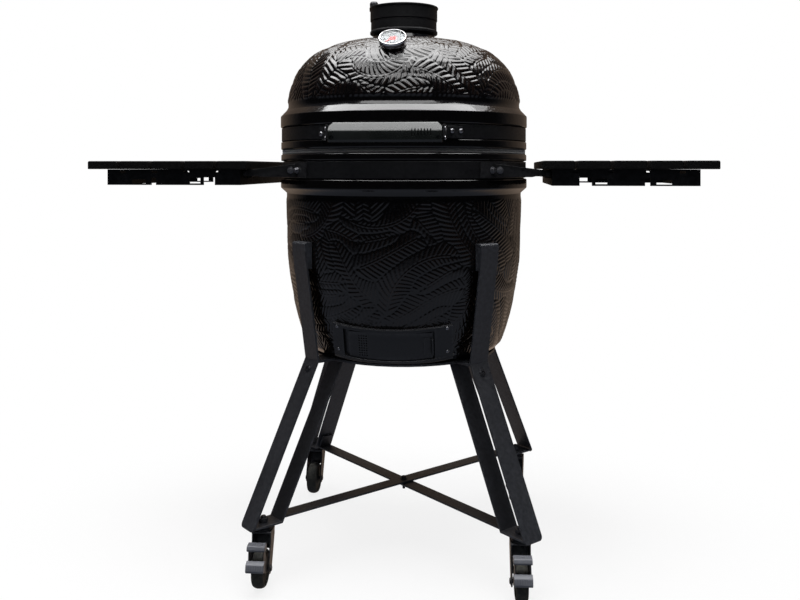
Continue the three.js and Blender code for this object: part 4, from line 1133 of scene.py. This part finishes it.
bar = prism_bm(fillet([(-3.9, -19), (3.9, -19), (3.9, 19), (-3.9, 19)], 3.4, 5), 4.7, X, Y, Vector((0, 0, 1194.6)), 1.2, 3)
bm = solid_union([disc, bar])
o = bms_piece("cap_daisy_cast", [bm], CAP, "daisy", ["cap_daisy"])
cut = [lathe_bm([(0, 1180), (3.35, 1180), (3.35, 1194), (0, 1194)], 24)]
for i in range(6):
    d = rdir(60 * i + 30)
    cut.append(lathe_bm([(0, 1180), (9, 1180), (9, 1200), (0, 1200)], 32, Matrix.Translation(Vector((34 * d.x, 34 * d.y, 0)) * MM)))
boolean(o, cut)
knob = fillet([(0, 1191.1), (9.2, 1191.1), (9.4, 1199.6), (7.2, 1203.8), (0, 1204)], [0, 0.8, 2.2, 2.0, 0], 4, closed=False)
bms_piece("cap_pivot_knob", [lathe_bm([(0, 1143.5), (3.9, 1144), (3.9, 1191.6), (0, 1191.6)], 24, place_p), lathe_bm(knob, 48, place_p)],
          BOLT_DARK, "lid", ["cap_pivot"])

# ---- draft vent
VWALL = [(211.4, 436.5), (218.9, 446), (223.4, 456), (227.4, 467), (231.2, 478), (234.4, 489.5), (237.2, 498), (239.4, 507), (243.6, 524)]
LIFT = 9.0
lift = lambda a: LIFT * (a / 31.0) ** 2


def vent_strip(d0, d1, a0, a1, zlo, zhi, steps, rows_n=6, bevel=0.35):
    """A strip over the bowl wall whose lower and upper edges are functions of the angle."""
    bm = bmesh.new()
    zs, rs = [p[1] for p in VWALL], [p[0] for p in VWALL]
    grid = {}
    for s, d in enumerate((d0, d1)):
        for k in range(steps + 1):
            a = a0 + (a1 - a0) * k / steps
            lo, hi = zlo(a), zhi(a)
            for i in range(rows_n):
                z = lo + (hi - lo) * i / (rows_n - 1)
                r = float(np.interp(z, zs, rs))
                sl = (float(np.interp(z + 3, zs, rs)) - float(np.interp(z - 3, zs, rs))) / 6
                ln = math.hypot(1, sl)
                rr, zz = r + d / ln, z - sl * d / ln
                e = math.radians(a) * 230.0 / r
                grid[s, i, k] = bm.verts.new((rr * math.sin(e) * MM, -rr * math.cos(e) * MM, zz * MM))
    for i in range(rows_n - 1):
        for k in range(steps):
            bm.faces.new((grid[1, i, k], grid[1, i, k + 1], grid[1, i + 1, k + 1], grid[1, i + 1, k]))
            bm.faces.new((grid[0, i, k], grid[0, i + 1, k], grid[0, i + 1, k + 1], grid[0, i, k + 1]))
    t = rows_n - 1
    for k in range(steps):
        bm.faces.new((grid[0, 0, k], grid[0, 0, k + 1], grid[1, 0, k + 1], grid[1, 0, k]))
        bm.faces.new((grid[0, t, k], grid[1, t, k], grid[1, t, k + 1], grid[0, t, k + 1]))
    for i in range(rows_n - 1):
        bm.faces.new((grid[0, i, 0], grid[1, i, 0], grid[1, i + 1, 0], grid[0, i + 1, 0]))
        bm.faces.new((grid[0, i, steps], grid[0, i + 1, steps], grid[1, i + 1, steps], grid[1, i, steps]))
    bmesh.ops.recalc_face_normals(bm, faces=bm.faces)
    if bevel:
        es = [e for e in bm.edges if e.calc_face_angle(0.0) > math.radians(55)]
        bmesh.ops.bevel(bm, geom=es, offset=bevel * MM, segments=2, profile=0.5, affect="EDGES", clamp_overlap=True)
    return bm


Z0, Z1 = 436.5, 507.0
k = lambda v: (lambda a: v)
up = lambda v: (lambda a: v + lift(a))
E = 31.0
back = [vent_strip(0.05, 1.9, -E, -17, up(Z0), up(Z1), 12), vent_strip(0.05, 1.9, 17, E, up(Z0), up(Z1), 12),
        vent_strip(0.05, 1.9, -17, 17, up(Z0), k(452.8), 24), vent_strip(0.05, 1.9, -17, 17, k(494.2), up(Z1), 24)]
rails = [vent_strip(1.6, 6.4, -22, 22, up(Z0 + 0.2), k(442.4), 34, 3), vent_strip(1.6, 6.4, -E + 0.2, E - 0.2, lambda a: Z1 + lift(a) - 5.2, up(Z1 - 0.2), 48, 3),
         vent_strip(5.9, 7.6, -E, E, up(Z0), up(Z0 + 7.0), 56, 4, 0.5), vent_strip(5.9, 7.6, -E, E, up(Z1 - 6.4), up(Z1), 56, 4, 0.5), vent_strip(1.0, 9.4, -E, 27.0, up(Z1 - 1.0), up(Z1 + 0.6), 56, 3, 0.35),
         vent_strip(5.9, 7.6, -E, -24.5, up(Z0 + 0.3), up(Z1 - 0.3), 8, 8, 0.5), vent_strip(5.9, 7.6, 21.4, E, up(Z0 + 0.3), up(Z1 - 0.3), 10, 8, 0.5),
         vent_strip(1.6, 7.4, -E, -28.9, up(Z0 + 0.3), up(Z1 - 0.3), 3, 6, 0.4), vent_strip(1.6, 7.4, 28.9, E, up(Z0 + 0.3), up(Z1 - 0.3), 3, 6, 0.4)]
bms_piece("vent_frame_sheet", back + rails, VENT, "base", ["vent_frame"])


def wall_point(az, z, d):
    zs, rs = [p[1] for p in VWALL], [p[0] for p in VWALL]
    r = float(np.interp(z, zs, rs))
    sl = (float(np.interp(z + 3, zs, rs)) - float(np.interp(z - 3, zs, rs))) / 6
    n = (rdir(az) - Z * sl).normalized()
    return rdir(az) * r + Z * z + n * d, n


screws = []
for az in (-28.0, 28.0):
    for zz in (Z0 + 17.5, Z1 - 4.6):
        e = az * 230.0 / float(np.interp(zz + lift(az), [q[1] for q in VWALL], [q[0] for q in VWALL]))
        p, n = wall_point(e, zz + lift(az), 7.4)
        screws.append(pan_screw(p, n, 3.6, 2.3, az * 0.07))
bms_piece("vent_screws", screws, BOLT, "base")
door = vent_strip(3.05, 4.85, -21.9, 20.5, k(443.3), k(500.7), 56, 14, 0.0)
o = bms_piece("vent_door_sheet", [door], VENT, "vent_slider", ["vent_door"])
cut = []
for i in range(4):
    for j in range(9):
        zz = 452 + 5.1 * j
        p, n = wall_point((-14.2 + 1.27 * (i - 1.5)) * 230.0 / float(np.interp(zz, [q[1] for q in VWALL], [q[0] for q in VWALL])), zz, -4)
        cut.append(lathe_bm([(0, 0), (1.7, 0), (1.7, 16), (0, 16)], 14, frame_of(n, p)))
boolean(o, cut)
print("door faces", len(o.data.polygons))
tab = vent_strip(4.2, 13.0, 19.75, 20.45, k(458), k(490), 2, 10, 0.3)
lip = vent_strip(4.2, 5.9, 15.9, 20.0, k(457), k(491), 4, 8, 0.4)
bms_piece("vent_door_tab", [tab, lip], VENT, "vent_slider")

# ---- side tables
for name, s in (("left", -1), ("right", 1)):
    body = "table_" + name
    for i in range(5):
        x = 299 + i * 69
        x0, x1 = (x, x + 63) if s > 0 else (-x - 63, -x)
        bm = prism_bm(fillet([(x0, 825.1), (x1, 825.1), (x1, 842), (x0, 842)], [2.0, 2.0, 3.4, 3.4], 5), 450, X, Z, Vector((0, 0, 0)))
        es = [e for e in bm.edges if abs(e.verts[0].co.y - e.verts[1].co.y) < 1e-6 and abs(abs(e.verts[0].co.y) - 0.225) < 1e-5]
        bmesh.ops.bevel(bm, geom=es, offset=1.8 * MM, segments=3, profile=0.5, affect="EDGES", clamp_overlap=True)
        bms_piece(f"table_{name}_board_{i + 1}", [bm], SLAT, body, [f"table_{name}_slat_{i + 1}"])
    bm = from_node(f"table_{name}_frame")
    soften(bm, 0.55, 2)
    o = bms_piece(f"table_{name}_tray", [bm], TRAY, body, [f"table_{name}_frame"])
    cut = []
    for i in range(1, 5):
        x = s * (299 + i * 69 - 3)
        for y in (-200, 200):
            m = Matrix.Translation(Vector((x, y, 819.2)) * MM)
            outline = fillet([(-6, -2.4), (6, -2.4), (6, 2.4), (-6, 2.4)], 2.3, 6)
            b = prism_bm(outline, 12, X, Z, Vector((0, 0, 0)))
            b.transform(m)
            cut.append(b)
    boolean(o, cut)
    bolts = []
    for i in range(5):
        x = s * (299 + i * 69 + 31.5)
        if 319 + 8 < abs(x) < 606 - 8:
            for y in (-188, 188):
                bolts.append(pan_screw(Vector((x, y, 822.1)), -Z, 4, 2.2, 0.3 * i))
    bms_piece(f"table_{name}_screws", bolts, BOLT_DARK, body)
    bm = from_node(f"table_{name}_bracket")
    soften(bm, 0.6, 2)
    bms_piece(f"table_{name}_bracket_steel", [bm], BAND, "base", [f"table_{name}_bracket"])
    bolts = []
    for az, f in ((46.4, -1), (180 - 46.4, 1)):
        d = rdir(s * az)
        bolts.append(hex_bolt(d * 277.5 + Z * 823, d, 8.5, 4.4, True, az))
        bolts.append(hex_bolt(Vector((s * 216, f * 184.9, 823)), Y * f, 8.5, 4.0, True, az))
    bms_piece(f"table_{name}_bracket_bolts", bolts, BOLT, "base")

# ---- stand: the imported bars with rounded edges
for leg in ("front_left", "front_right", "rear_left", "rear_right"):
    bm = from_node("leg_outer_" + leg)
    bmesh.ops.dissolve_limit(bm, angle_limit=math.radians(1.0), verts=bm.verts[:], edges=bm.edges[:])
    es = [e for e in bm.edges if e.calc_length() < 4.6 * MM and max(v.co.z for v in e.verts) < 0.125]
    bmesh.ops.bevel(bm, geom=es, offset=9 * MM, segments=6, profile=0.5, affect="EDGES", clamp_overlap=False)
    print("leg corners", len(es))
    soften(bm, 0.9, 2)
    bms_piece("leg_outer_" + leg + "_strap", [bm], STAND, "base", ["leg_outer_" + leg])
    dress("leg_inner_" + leg, STAND, 0.9)
dress("brace_upper", STAND, 0.8)
dress("brace_lower", STAND, 0.8)
dress("base_ring", STAND, 0.8)
LEGS = [("front_left", -45, 2), ("front_right", 45, 4), ("rear_left", -135, -2), ("rear_right", 135, -6)]
out_n = Vector((0.9005, 0, 0.4348))
bolts = []
for leg, az, _ in LEGS:
    d = rdir(az)
    n = d * 0.9012 + Z * 0.4334
    p = d * 255.1 + Z * 411.5
    bolts.append(lathe_bm([(0, -3.4), (5.7, -3.4), (5.7, 0.4), (7.4, 0.5), (7.6, 1.2), (6.6, 2.6), (3.4, 3.0), (3.1, 1.2), (0, 1.0)], 28, frame_of(n, p)))
    for r in (160, 172):
        bolts.append(hex_bolt(d * r + Z * 419.7, -Z, 8, 4.2, True, az))
bms_piece("stand_bolts", bolts, BOLT_DARK, "base")
cross = [hex_bolt((0, 0, 126.4), Z, 10, 5, True, 0.4), hex_bolt((0, 0, 117.8), -Z, 10, 5, True, 0.2),
         lathe_bm([(0, 104.6), (2.6, 104.6), (3.1, 105.4), (3.1, 114), (0, 114)], 20)]
bms_piece("brace_bolt", cross, BOLT_DARK, "base")

# ---- casters
for leg, az, trail in LEGS:
    c = rdir(az) * 360
    t = rdir(trail)
    side_v = Vector((-t.y, t.x, 0))

    def at(u, w, z):
        return Vector((c.x + t.x * u + side_v.x * w, c.y + t.y * u + side_v.y * w, z))

    def slab(pts, w0, w1, bevel=0.6, seg=2):
        return prism_bm(pts, w1 - w0, t, Z, at(0, -(w0 + w1) / 2, 0), bevel, seg)

    cheek = [(-16.5, 103), (-17, 92), (8, 35), ] + [(22 + 11 * math.cos(math.radians(a)), 37.5 + 11 * math.sin(math.radians(a))) for a in range(195, 346, 10)] + [(34, 41.5), (17, 90), (16.5, 103)]
    fork = [slab(cheek, 16.6, 19.4, 0.9, 3), slab(cheek, -19.4, -16.6, 0.9, 3),
            slab(fillet([(-17, 102), (17, 102), (17, 106), (-17, 106)], 1.2, 3), -19.4, 19.4, 0.0),
            slab([(-16.8, 103), (-16.8, 92), (-8.0, 73.4), (-4.9, 73.4), (-13.2, 91), (-13.2, 103)], -17.0, 17.0, 0.5),
            slab([(-8.2, 76), (-5.2, 76), (-8.8, 63.4), (-11.6, 63.6)], -17.0, 17.0, 0.4), slab([(-8.2, 75), (-4.4, 75), (8.8, 46), (5.4, 44)], 12.7, 16.8, 0.4), slab([(-8.2, 75), (-4.4, 75), (8.8, 46), (5.4, 44)], -16.8, -12.7, 0.4)]
    place_c = Matrix.Translation(Vector((c.x, c.y, 0)) * MM)
    fork.append(lathe_bm(fillet([(0, 105.2), (14.5, 105.2), (16.9, 107), (16.9, 109.4), (15.6, 110.4), (15.6, 111.6), (16.8, 112.6), (16.4, 114.6), (12, 115.2), (0, 115.3)],
                                [0, 0.8, 1.2, 1, 0.4, 0.4, 0.8, 1.2, 0.6, 0], 3, closed=False), 56, place_c))
    stem = [(0, 112)]
    z = 115.3
    while z < 132:
        stem += [(5.35, z), (5.0, z + 0.6)]
        z += 1.2
    stem += [(4.6, 132.6), (0, 132.9)]
    fork.append(lathe_bm(stem, 24, place_c))
    nut = prism_bm([(9.8 * math.cos(math.pi / 3 * i + 0.3), 9.8 * math.sin(math.pi / 3 * i + 0.3)) for i in range(6)], 8, X, Y, Vector((c.x, c.y, 124.5)), 0.8, 2)
    fork.append(nut)
    axle_m = frame_of(side_v, at(22, 0, 37.5))
    fork.append(lathe_bm(fillet([(0, -22.4), (3.9, -22.4), (3.9, 22.4), (0, 22.4)], [0, 0.8, 0.8, 0], 2, closed=False), 24, axle_m))
    for w in (-1, 1):
        m = frame_of(side_v * w, at(22, w * 19.4, 37.5)) if w > 0 else frame_of(side_v * w, at(22, -19.4, 37.5))
        fork.append(lathe_bm(fillet([(0, 0), (7.2, 0), (7.2, 1), (5.6, 1.1), (5.4, 2.6), (0, 2.9)], [0, 0.3, 0.3, 0.3, 0.6, 0], 2, closed=False), 28, m))
    bms_piece("caster_fork_" + leg + "_pressing", fork, CASTER, "caster_" + leg, ["caster_fork_" + leg])
    tread = [(4.7, -11.9), (10, -11.9), (12.2, -10.8), (15.5, -9.4), (27.5, -8.6), (30, -9.8), (31.5, -11.9), (33.0, -11.7), (35.2, -9.4), (36.7, -5.6), (37.35, -2.2), (37.1, -1.5), (37.1, -0.8),
             (37.5, 0), (37.1, 0.8), (37.1, 1.5), (37.35, 2.2), (36.7, 5.6), (35.2, 9.4), (33.0, 11.7), (31.5, 11.9), (30, 9.8), (27.5, 8.6), (15.5, 9.4), (12.2, 10.8), (10, 11.9), (4.7, 11.9)]
    bms_piece("caster_tyre_" + leg, [lathe_bm(fillet(tread, 0.7, 2), 72, axle_m)], RUBBER, "wheel_" + leg, ["caster_wheel_" + leg])
    if leg.startswith("front"):
        arm = [(22 + 7.4 * math.cos(math.radians(a)), 37.5 + 7.4 * math.sin(math.radians(a))) for a in range(90, 301, 14)] + [(44, 36.8), (63.6, 47.2), (63.6, 67), (60.8, 89), (49.4, 89), (41.4, 71.8)]
        lower_p = fillet([(61.8, 50.7), (75, 49.6), (76.8, 54.5), (74, 65.5), (62.4, 71.3)], [1.5, 2.4, 2.6, 4, 2.5], 5)
        upper_p = fillet([(47.2, 85.7), (64, 86.6), (65.8, 90.5), (63, 96.8), (46.2, 98.8)], [1.5, 2.0, 2.0, 2.6, 2.2], 5)
        pedal = [slab(lower_p, -17.8, 17.8, 1.4, 4), slab(upper_p, -17.8, 17.8, 1.2, 4)]
        for q in range(-3, 4):
            pedal.append(slab([(75.3, 56.4), (76.6, 56.0), (74.9, 63.8), (73.4, 64.6)], q * 4.6 - 0.7, q * 4.6 + 0.7, 0.25, 1))
            pedal.append(slab([(50, 97.4), (61.4, 96.0), (61.8, 97.4), (50.2, 98.9)], q * 4.6 - 0.7, q * 4.6 + 0.7, 0.25, 1))
        bms_piece("caster_pedal_" + leg + "_arms", [slab(arm, 13.2, 15.2, 0.5), slab(arm, -15.2, -13.2, 0.5)], CASTER, "pedal_" + leg)
        bms_piece("caster_pedal_" + leg + "_moulded", pedal, PEDAL, "pedal_" + leg, ["caster_pedal_" + leg])

# =====================================================================  floor, light, camera
bm = bmesh.new()
n = 60
vs = [[bm.verts.new(((i / n - 0.5) * 14, (j / n - 0.35) * 14, 0.0)) for j in range(n + 1)] for i in range(n + 1)]
for i in range(n):
    for j in range(n):
        bm.faces.new((vs[i][j], vs[i + 1][j], vs[i + 1][j + 1], vs[i][j + 1]))
me = bpy.data.meshes.new("floor")
bm.to_mesh(me)
bm.free()
floor = bpy.data.objects.new("floor", me)
bpy.context.scene.collection.objects.link(floor)
t = Tree("floor_pale")
t.set(Base_Color=t.mix(t.range(t.noise(400, 3), 0.3, 0.7, 0, 1), (0.86, 0.86, 0.86), (0.89, 0.89, 0.89)), Roughness=0.75)
nt = t.nt
far = nt.nodes.new("ShaderNodeVectorMath")
far.operation = "LENGTH"
nt.links.new(nt.nodes.new("ShaderNodeNewGeometry").outputs["Position"], far.inputs[0])
fade = t.range(far.outputs["Value"], 0.45, 1.0, 0.84, 1.0)
glow = nt.nodes.new("ShaderNodeEmission")
glow.inputs["Strength"].default_value = 1.0
mx = nt.nodes.new("ShaderNodeMixShader")
nt.links.new(fade, mx.inputs[0])
nt.links.new(t.bsdf.outputs[0], mx.inputs[1])
nt.links.new(glow.outputs[0], mx.inputs[2])
nt.links.new(mx.outputs[0], t.out.inputs[0])
me.materials.append(t.mat)
floor.visible_glossy = False
floor.visible_diffuse = False


def area(name, loc, target, size, size_y, power, glossy=True, color=(1, 1, 1), diffuse=True):
    d = bpy.data.lights.new(name, "AREA")
    d.shape, d.size, d.size_y, d.energy, d.color = "RECTANGLE", size, size_y, power, color
    o = bpy.data.objects.new(name, d)
    o.location = loc
    o.rotation_euler = (Vector(target) - Vector(loc)).to_track_quat("-Z", "Y").to_euler()
    bpy.context.scene.collection.objects.link(o)
    o.visible_camera = False
    o.visible_glossy = glossy
    o.visible_diffuse = diffuse
    return o


area("softbox_top_shine", (0.0, -0.05, 3.3), (0, -0.05, 0), 4.2, 1.7, 158, diffuse=False)
area("softbox_back_shine", (0.0, 1.35, 3.3), (0, 1.35, 0), 3.6, 1.1, 34, diffuse=False)
area("softbox_front_shine", (0.0, -1.75, 3.0), (0, 0, 0.9), 3.0, 1.1, 40, diffuse=False)
area("softbox_top", (0.0, -0.35, 3.3), (0, 0, 0.9), 2.8, 2.0, 120, glossy=False)
area("front_fill", (0.2, -3.6, 1.4), (0, 0, 0.6), 3.0, 2.4, 15, glossy=False, color=(0.92, 0.96, 1.0))
area("floor_wash", (0, 0.4, 4.4), (0, 0.6, 0), 6, 6, 120, glossy=False)

world = bpy.data.worlds.new("studio")
bpy.context.scene.world = world
world.use_nodes = True
wn = world.node_tree
wn.nodes.clear()
wout = wn.nodes.new("ShaderNodeOutputWorld")
lp = wn.nodes.new("ShaderNodeLightPath")
tc = wn.nodes.new("ShaderNodeTexCoord")
sep = wn.nodes.new("ShaderNodeSeparateXYZ")
wn.links.new(tc.outputs["Generated"], sep.inputs[0])


def wmap(v, a, b, c, d, smooth=True):
    n = wn.nodes.new("ShaderNodeMapRange")
    n.interpolation_type = "SMOOTHSTEP" if smooth else "LINEAR"
    wn.links.new(v, n.inputs["Value"])
    for kk, x in zip(("From Min", "From Max", "To Min", "To Max"), (a, b, c, d)):
        n.inputs[kk].default_value = x
    return n.outputs[0]


def wmath(op, a, b):
    n = wn.nodes.new("ShaderNodeMath")
    n.operation = op
    for s_, v in ((n.inputs[0], a), (n.inputs[1], b)):
        if isinstance(v, (int, float)):
            s_.default_value = v
        else:
            wn.links.new(v, s_)
    return n.outputs[0]


behind = wmap(sep.outputs["Y"], 0.1, 0.7, 0.0, 0.12)
above = wmap(sep.outputs["Z"], 0.40, 0.62, 0.0, 0.06)
below = wmap(sep.outputs["Z"], -0.42, -0.04, 0.20, 0.0)
gloss = wmath("ADD", wmath("ADD", 0.009, behind), wmath("ADD", above, below))
seen = wn.nodes.new("ShaderNodeMix")
seen.data_type = "FLOAT"
wn.links.new(lp.outputs["Is Glossy Ray"], seen.inputs["Factor"])
fin = [i for i in seen.inputs if i.type == "VALUE"]
seen.inputs[2].default_value = 0.11
wn.links.new(gloss, seen.inputs[3])
cam_mix = wn.nodes.new("ShaderNodeMix")
cam_mix.data_type = "FLOAT"
wn.links.new(lp.outputs["Is Camera Ray"], cam_mix.inputs[0])
wn.links.new(seen.outputs[0], cam_mix.inputs[2])
cam_mix.inputs[3].default_value = 1.0
bg = wn.nodes.new("ShaderNodeBackground")
tint = wn.nodes.new("ShaderNodeMix")
tint.data_type = "RGBA"
wn.links.new(lp.outputs["Is Camera Ray"], tint.inputs[0])
warm = wn.nodes.new("ShaderNodeMix")
warm.data_type = "RGBA"
wn.links.new(wmap(sep.outputs["Y"], 0.1, 0.6, 0.0, 1.0), warm.inputs[0])
warm.inputs[6].default_value = (0.86, 0.93, 1.12, 1)
warm.inputs[7].default_value = (1.25, 0.95, 0.74, 1)
wn.links.new(warm.outputs[2], tint.inputs[6])
tint.inputs[7].default_value = (1, 1, 1, 1)
wn.links.new(tint.outputs[2], bg.inputs["Color"])
wn.links.new(cam_mix.outputs[0], bg.inputs["Strength"])
wn.links.new(bg.outputs[0], wout.inputs[0])

cam_data = bpy.data.cameras.new("camera")
cam = bpy.data.objects.new("camera", cam_data)
bpy.context.scene.collection.objects.link(cam)
bpy.context.scene.camera = cam
PHI = math.radians(6.3)
cam.location = (1.98 * math.sin(PHI), -1.98 * math.cos(PHI), 0.8275)
cam.rotation_euler = (math.pi / 2, 0, PHI)
cam_data.sensor_width = 36
cam_data.lens = 39.465
cam_data.clip_start, cam_data.clip_end = 0.05, 60


def shift_driver(prop, value):
    """The lens shift holds only while the camera stands at its main place."""
    dr = cam_data.driver_add(prop).driver
    dr.type = "SCRIPTED"
    v = dr.variables.new()
    v.name = "x"
    v.type = "TRANSFORMS"
    v.targets[0].id = cam
    v.targets[0].transform_type = "LOC_X"
    v.targets[0].transform_space = "WORLD_SPACE"
    dr.expression = f"{value} if abs(x - {cam.location.x:.5f}) < 0.001 else 0"


shift_driver("shift_x", -0.00475)
shift_driver("shift_y", -0.165)
sc = bpy.context.scene
sc.view_settings.view_transform = "Standard"
sc.view_settings.look = "None"
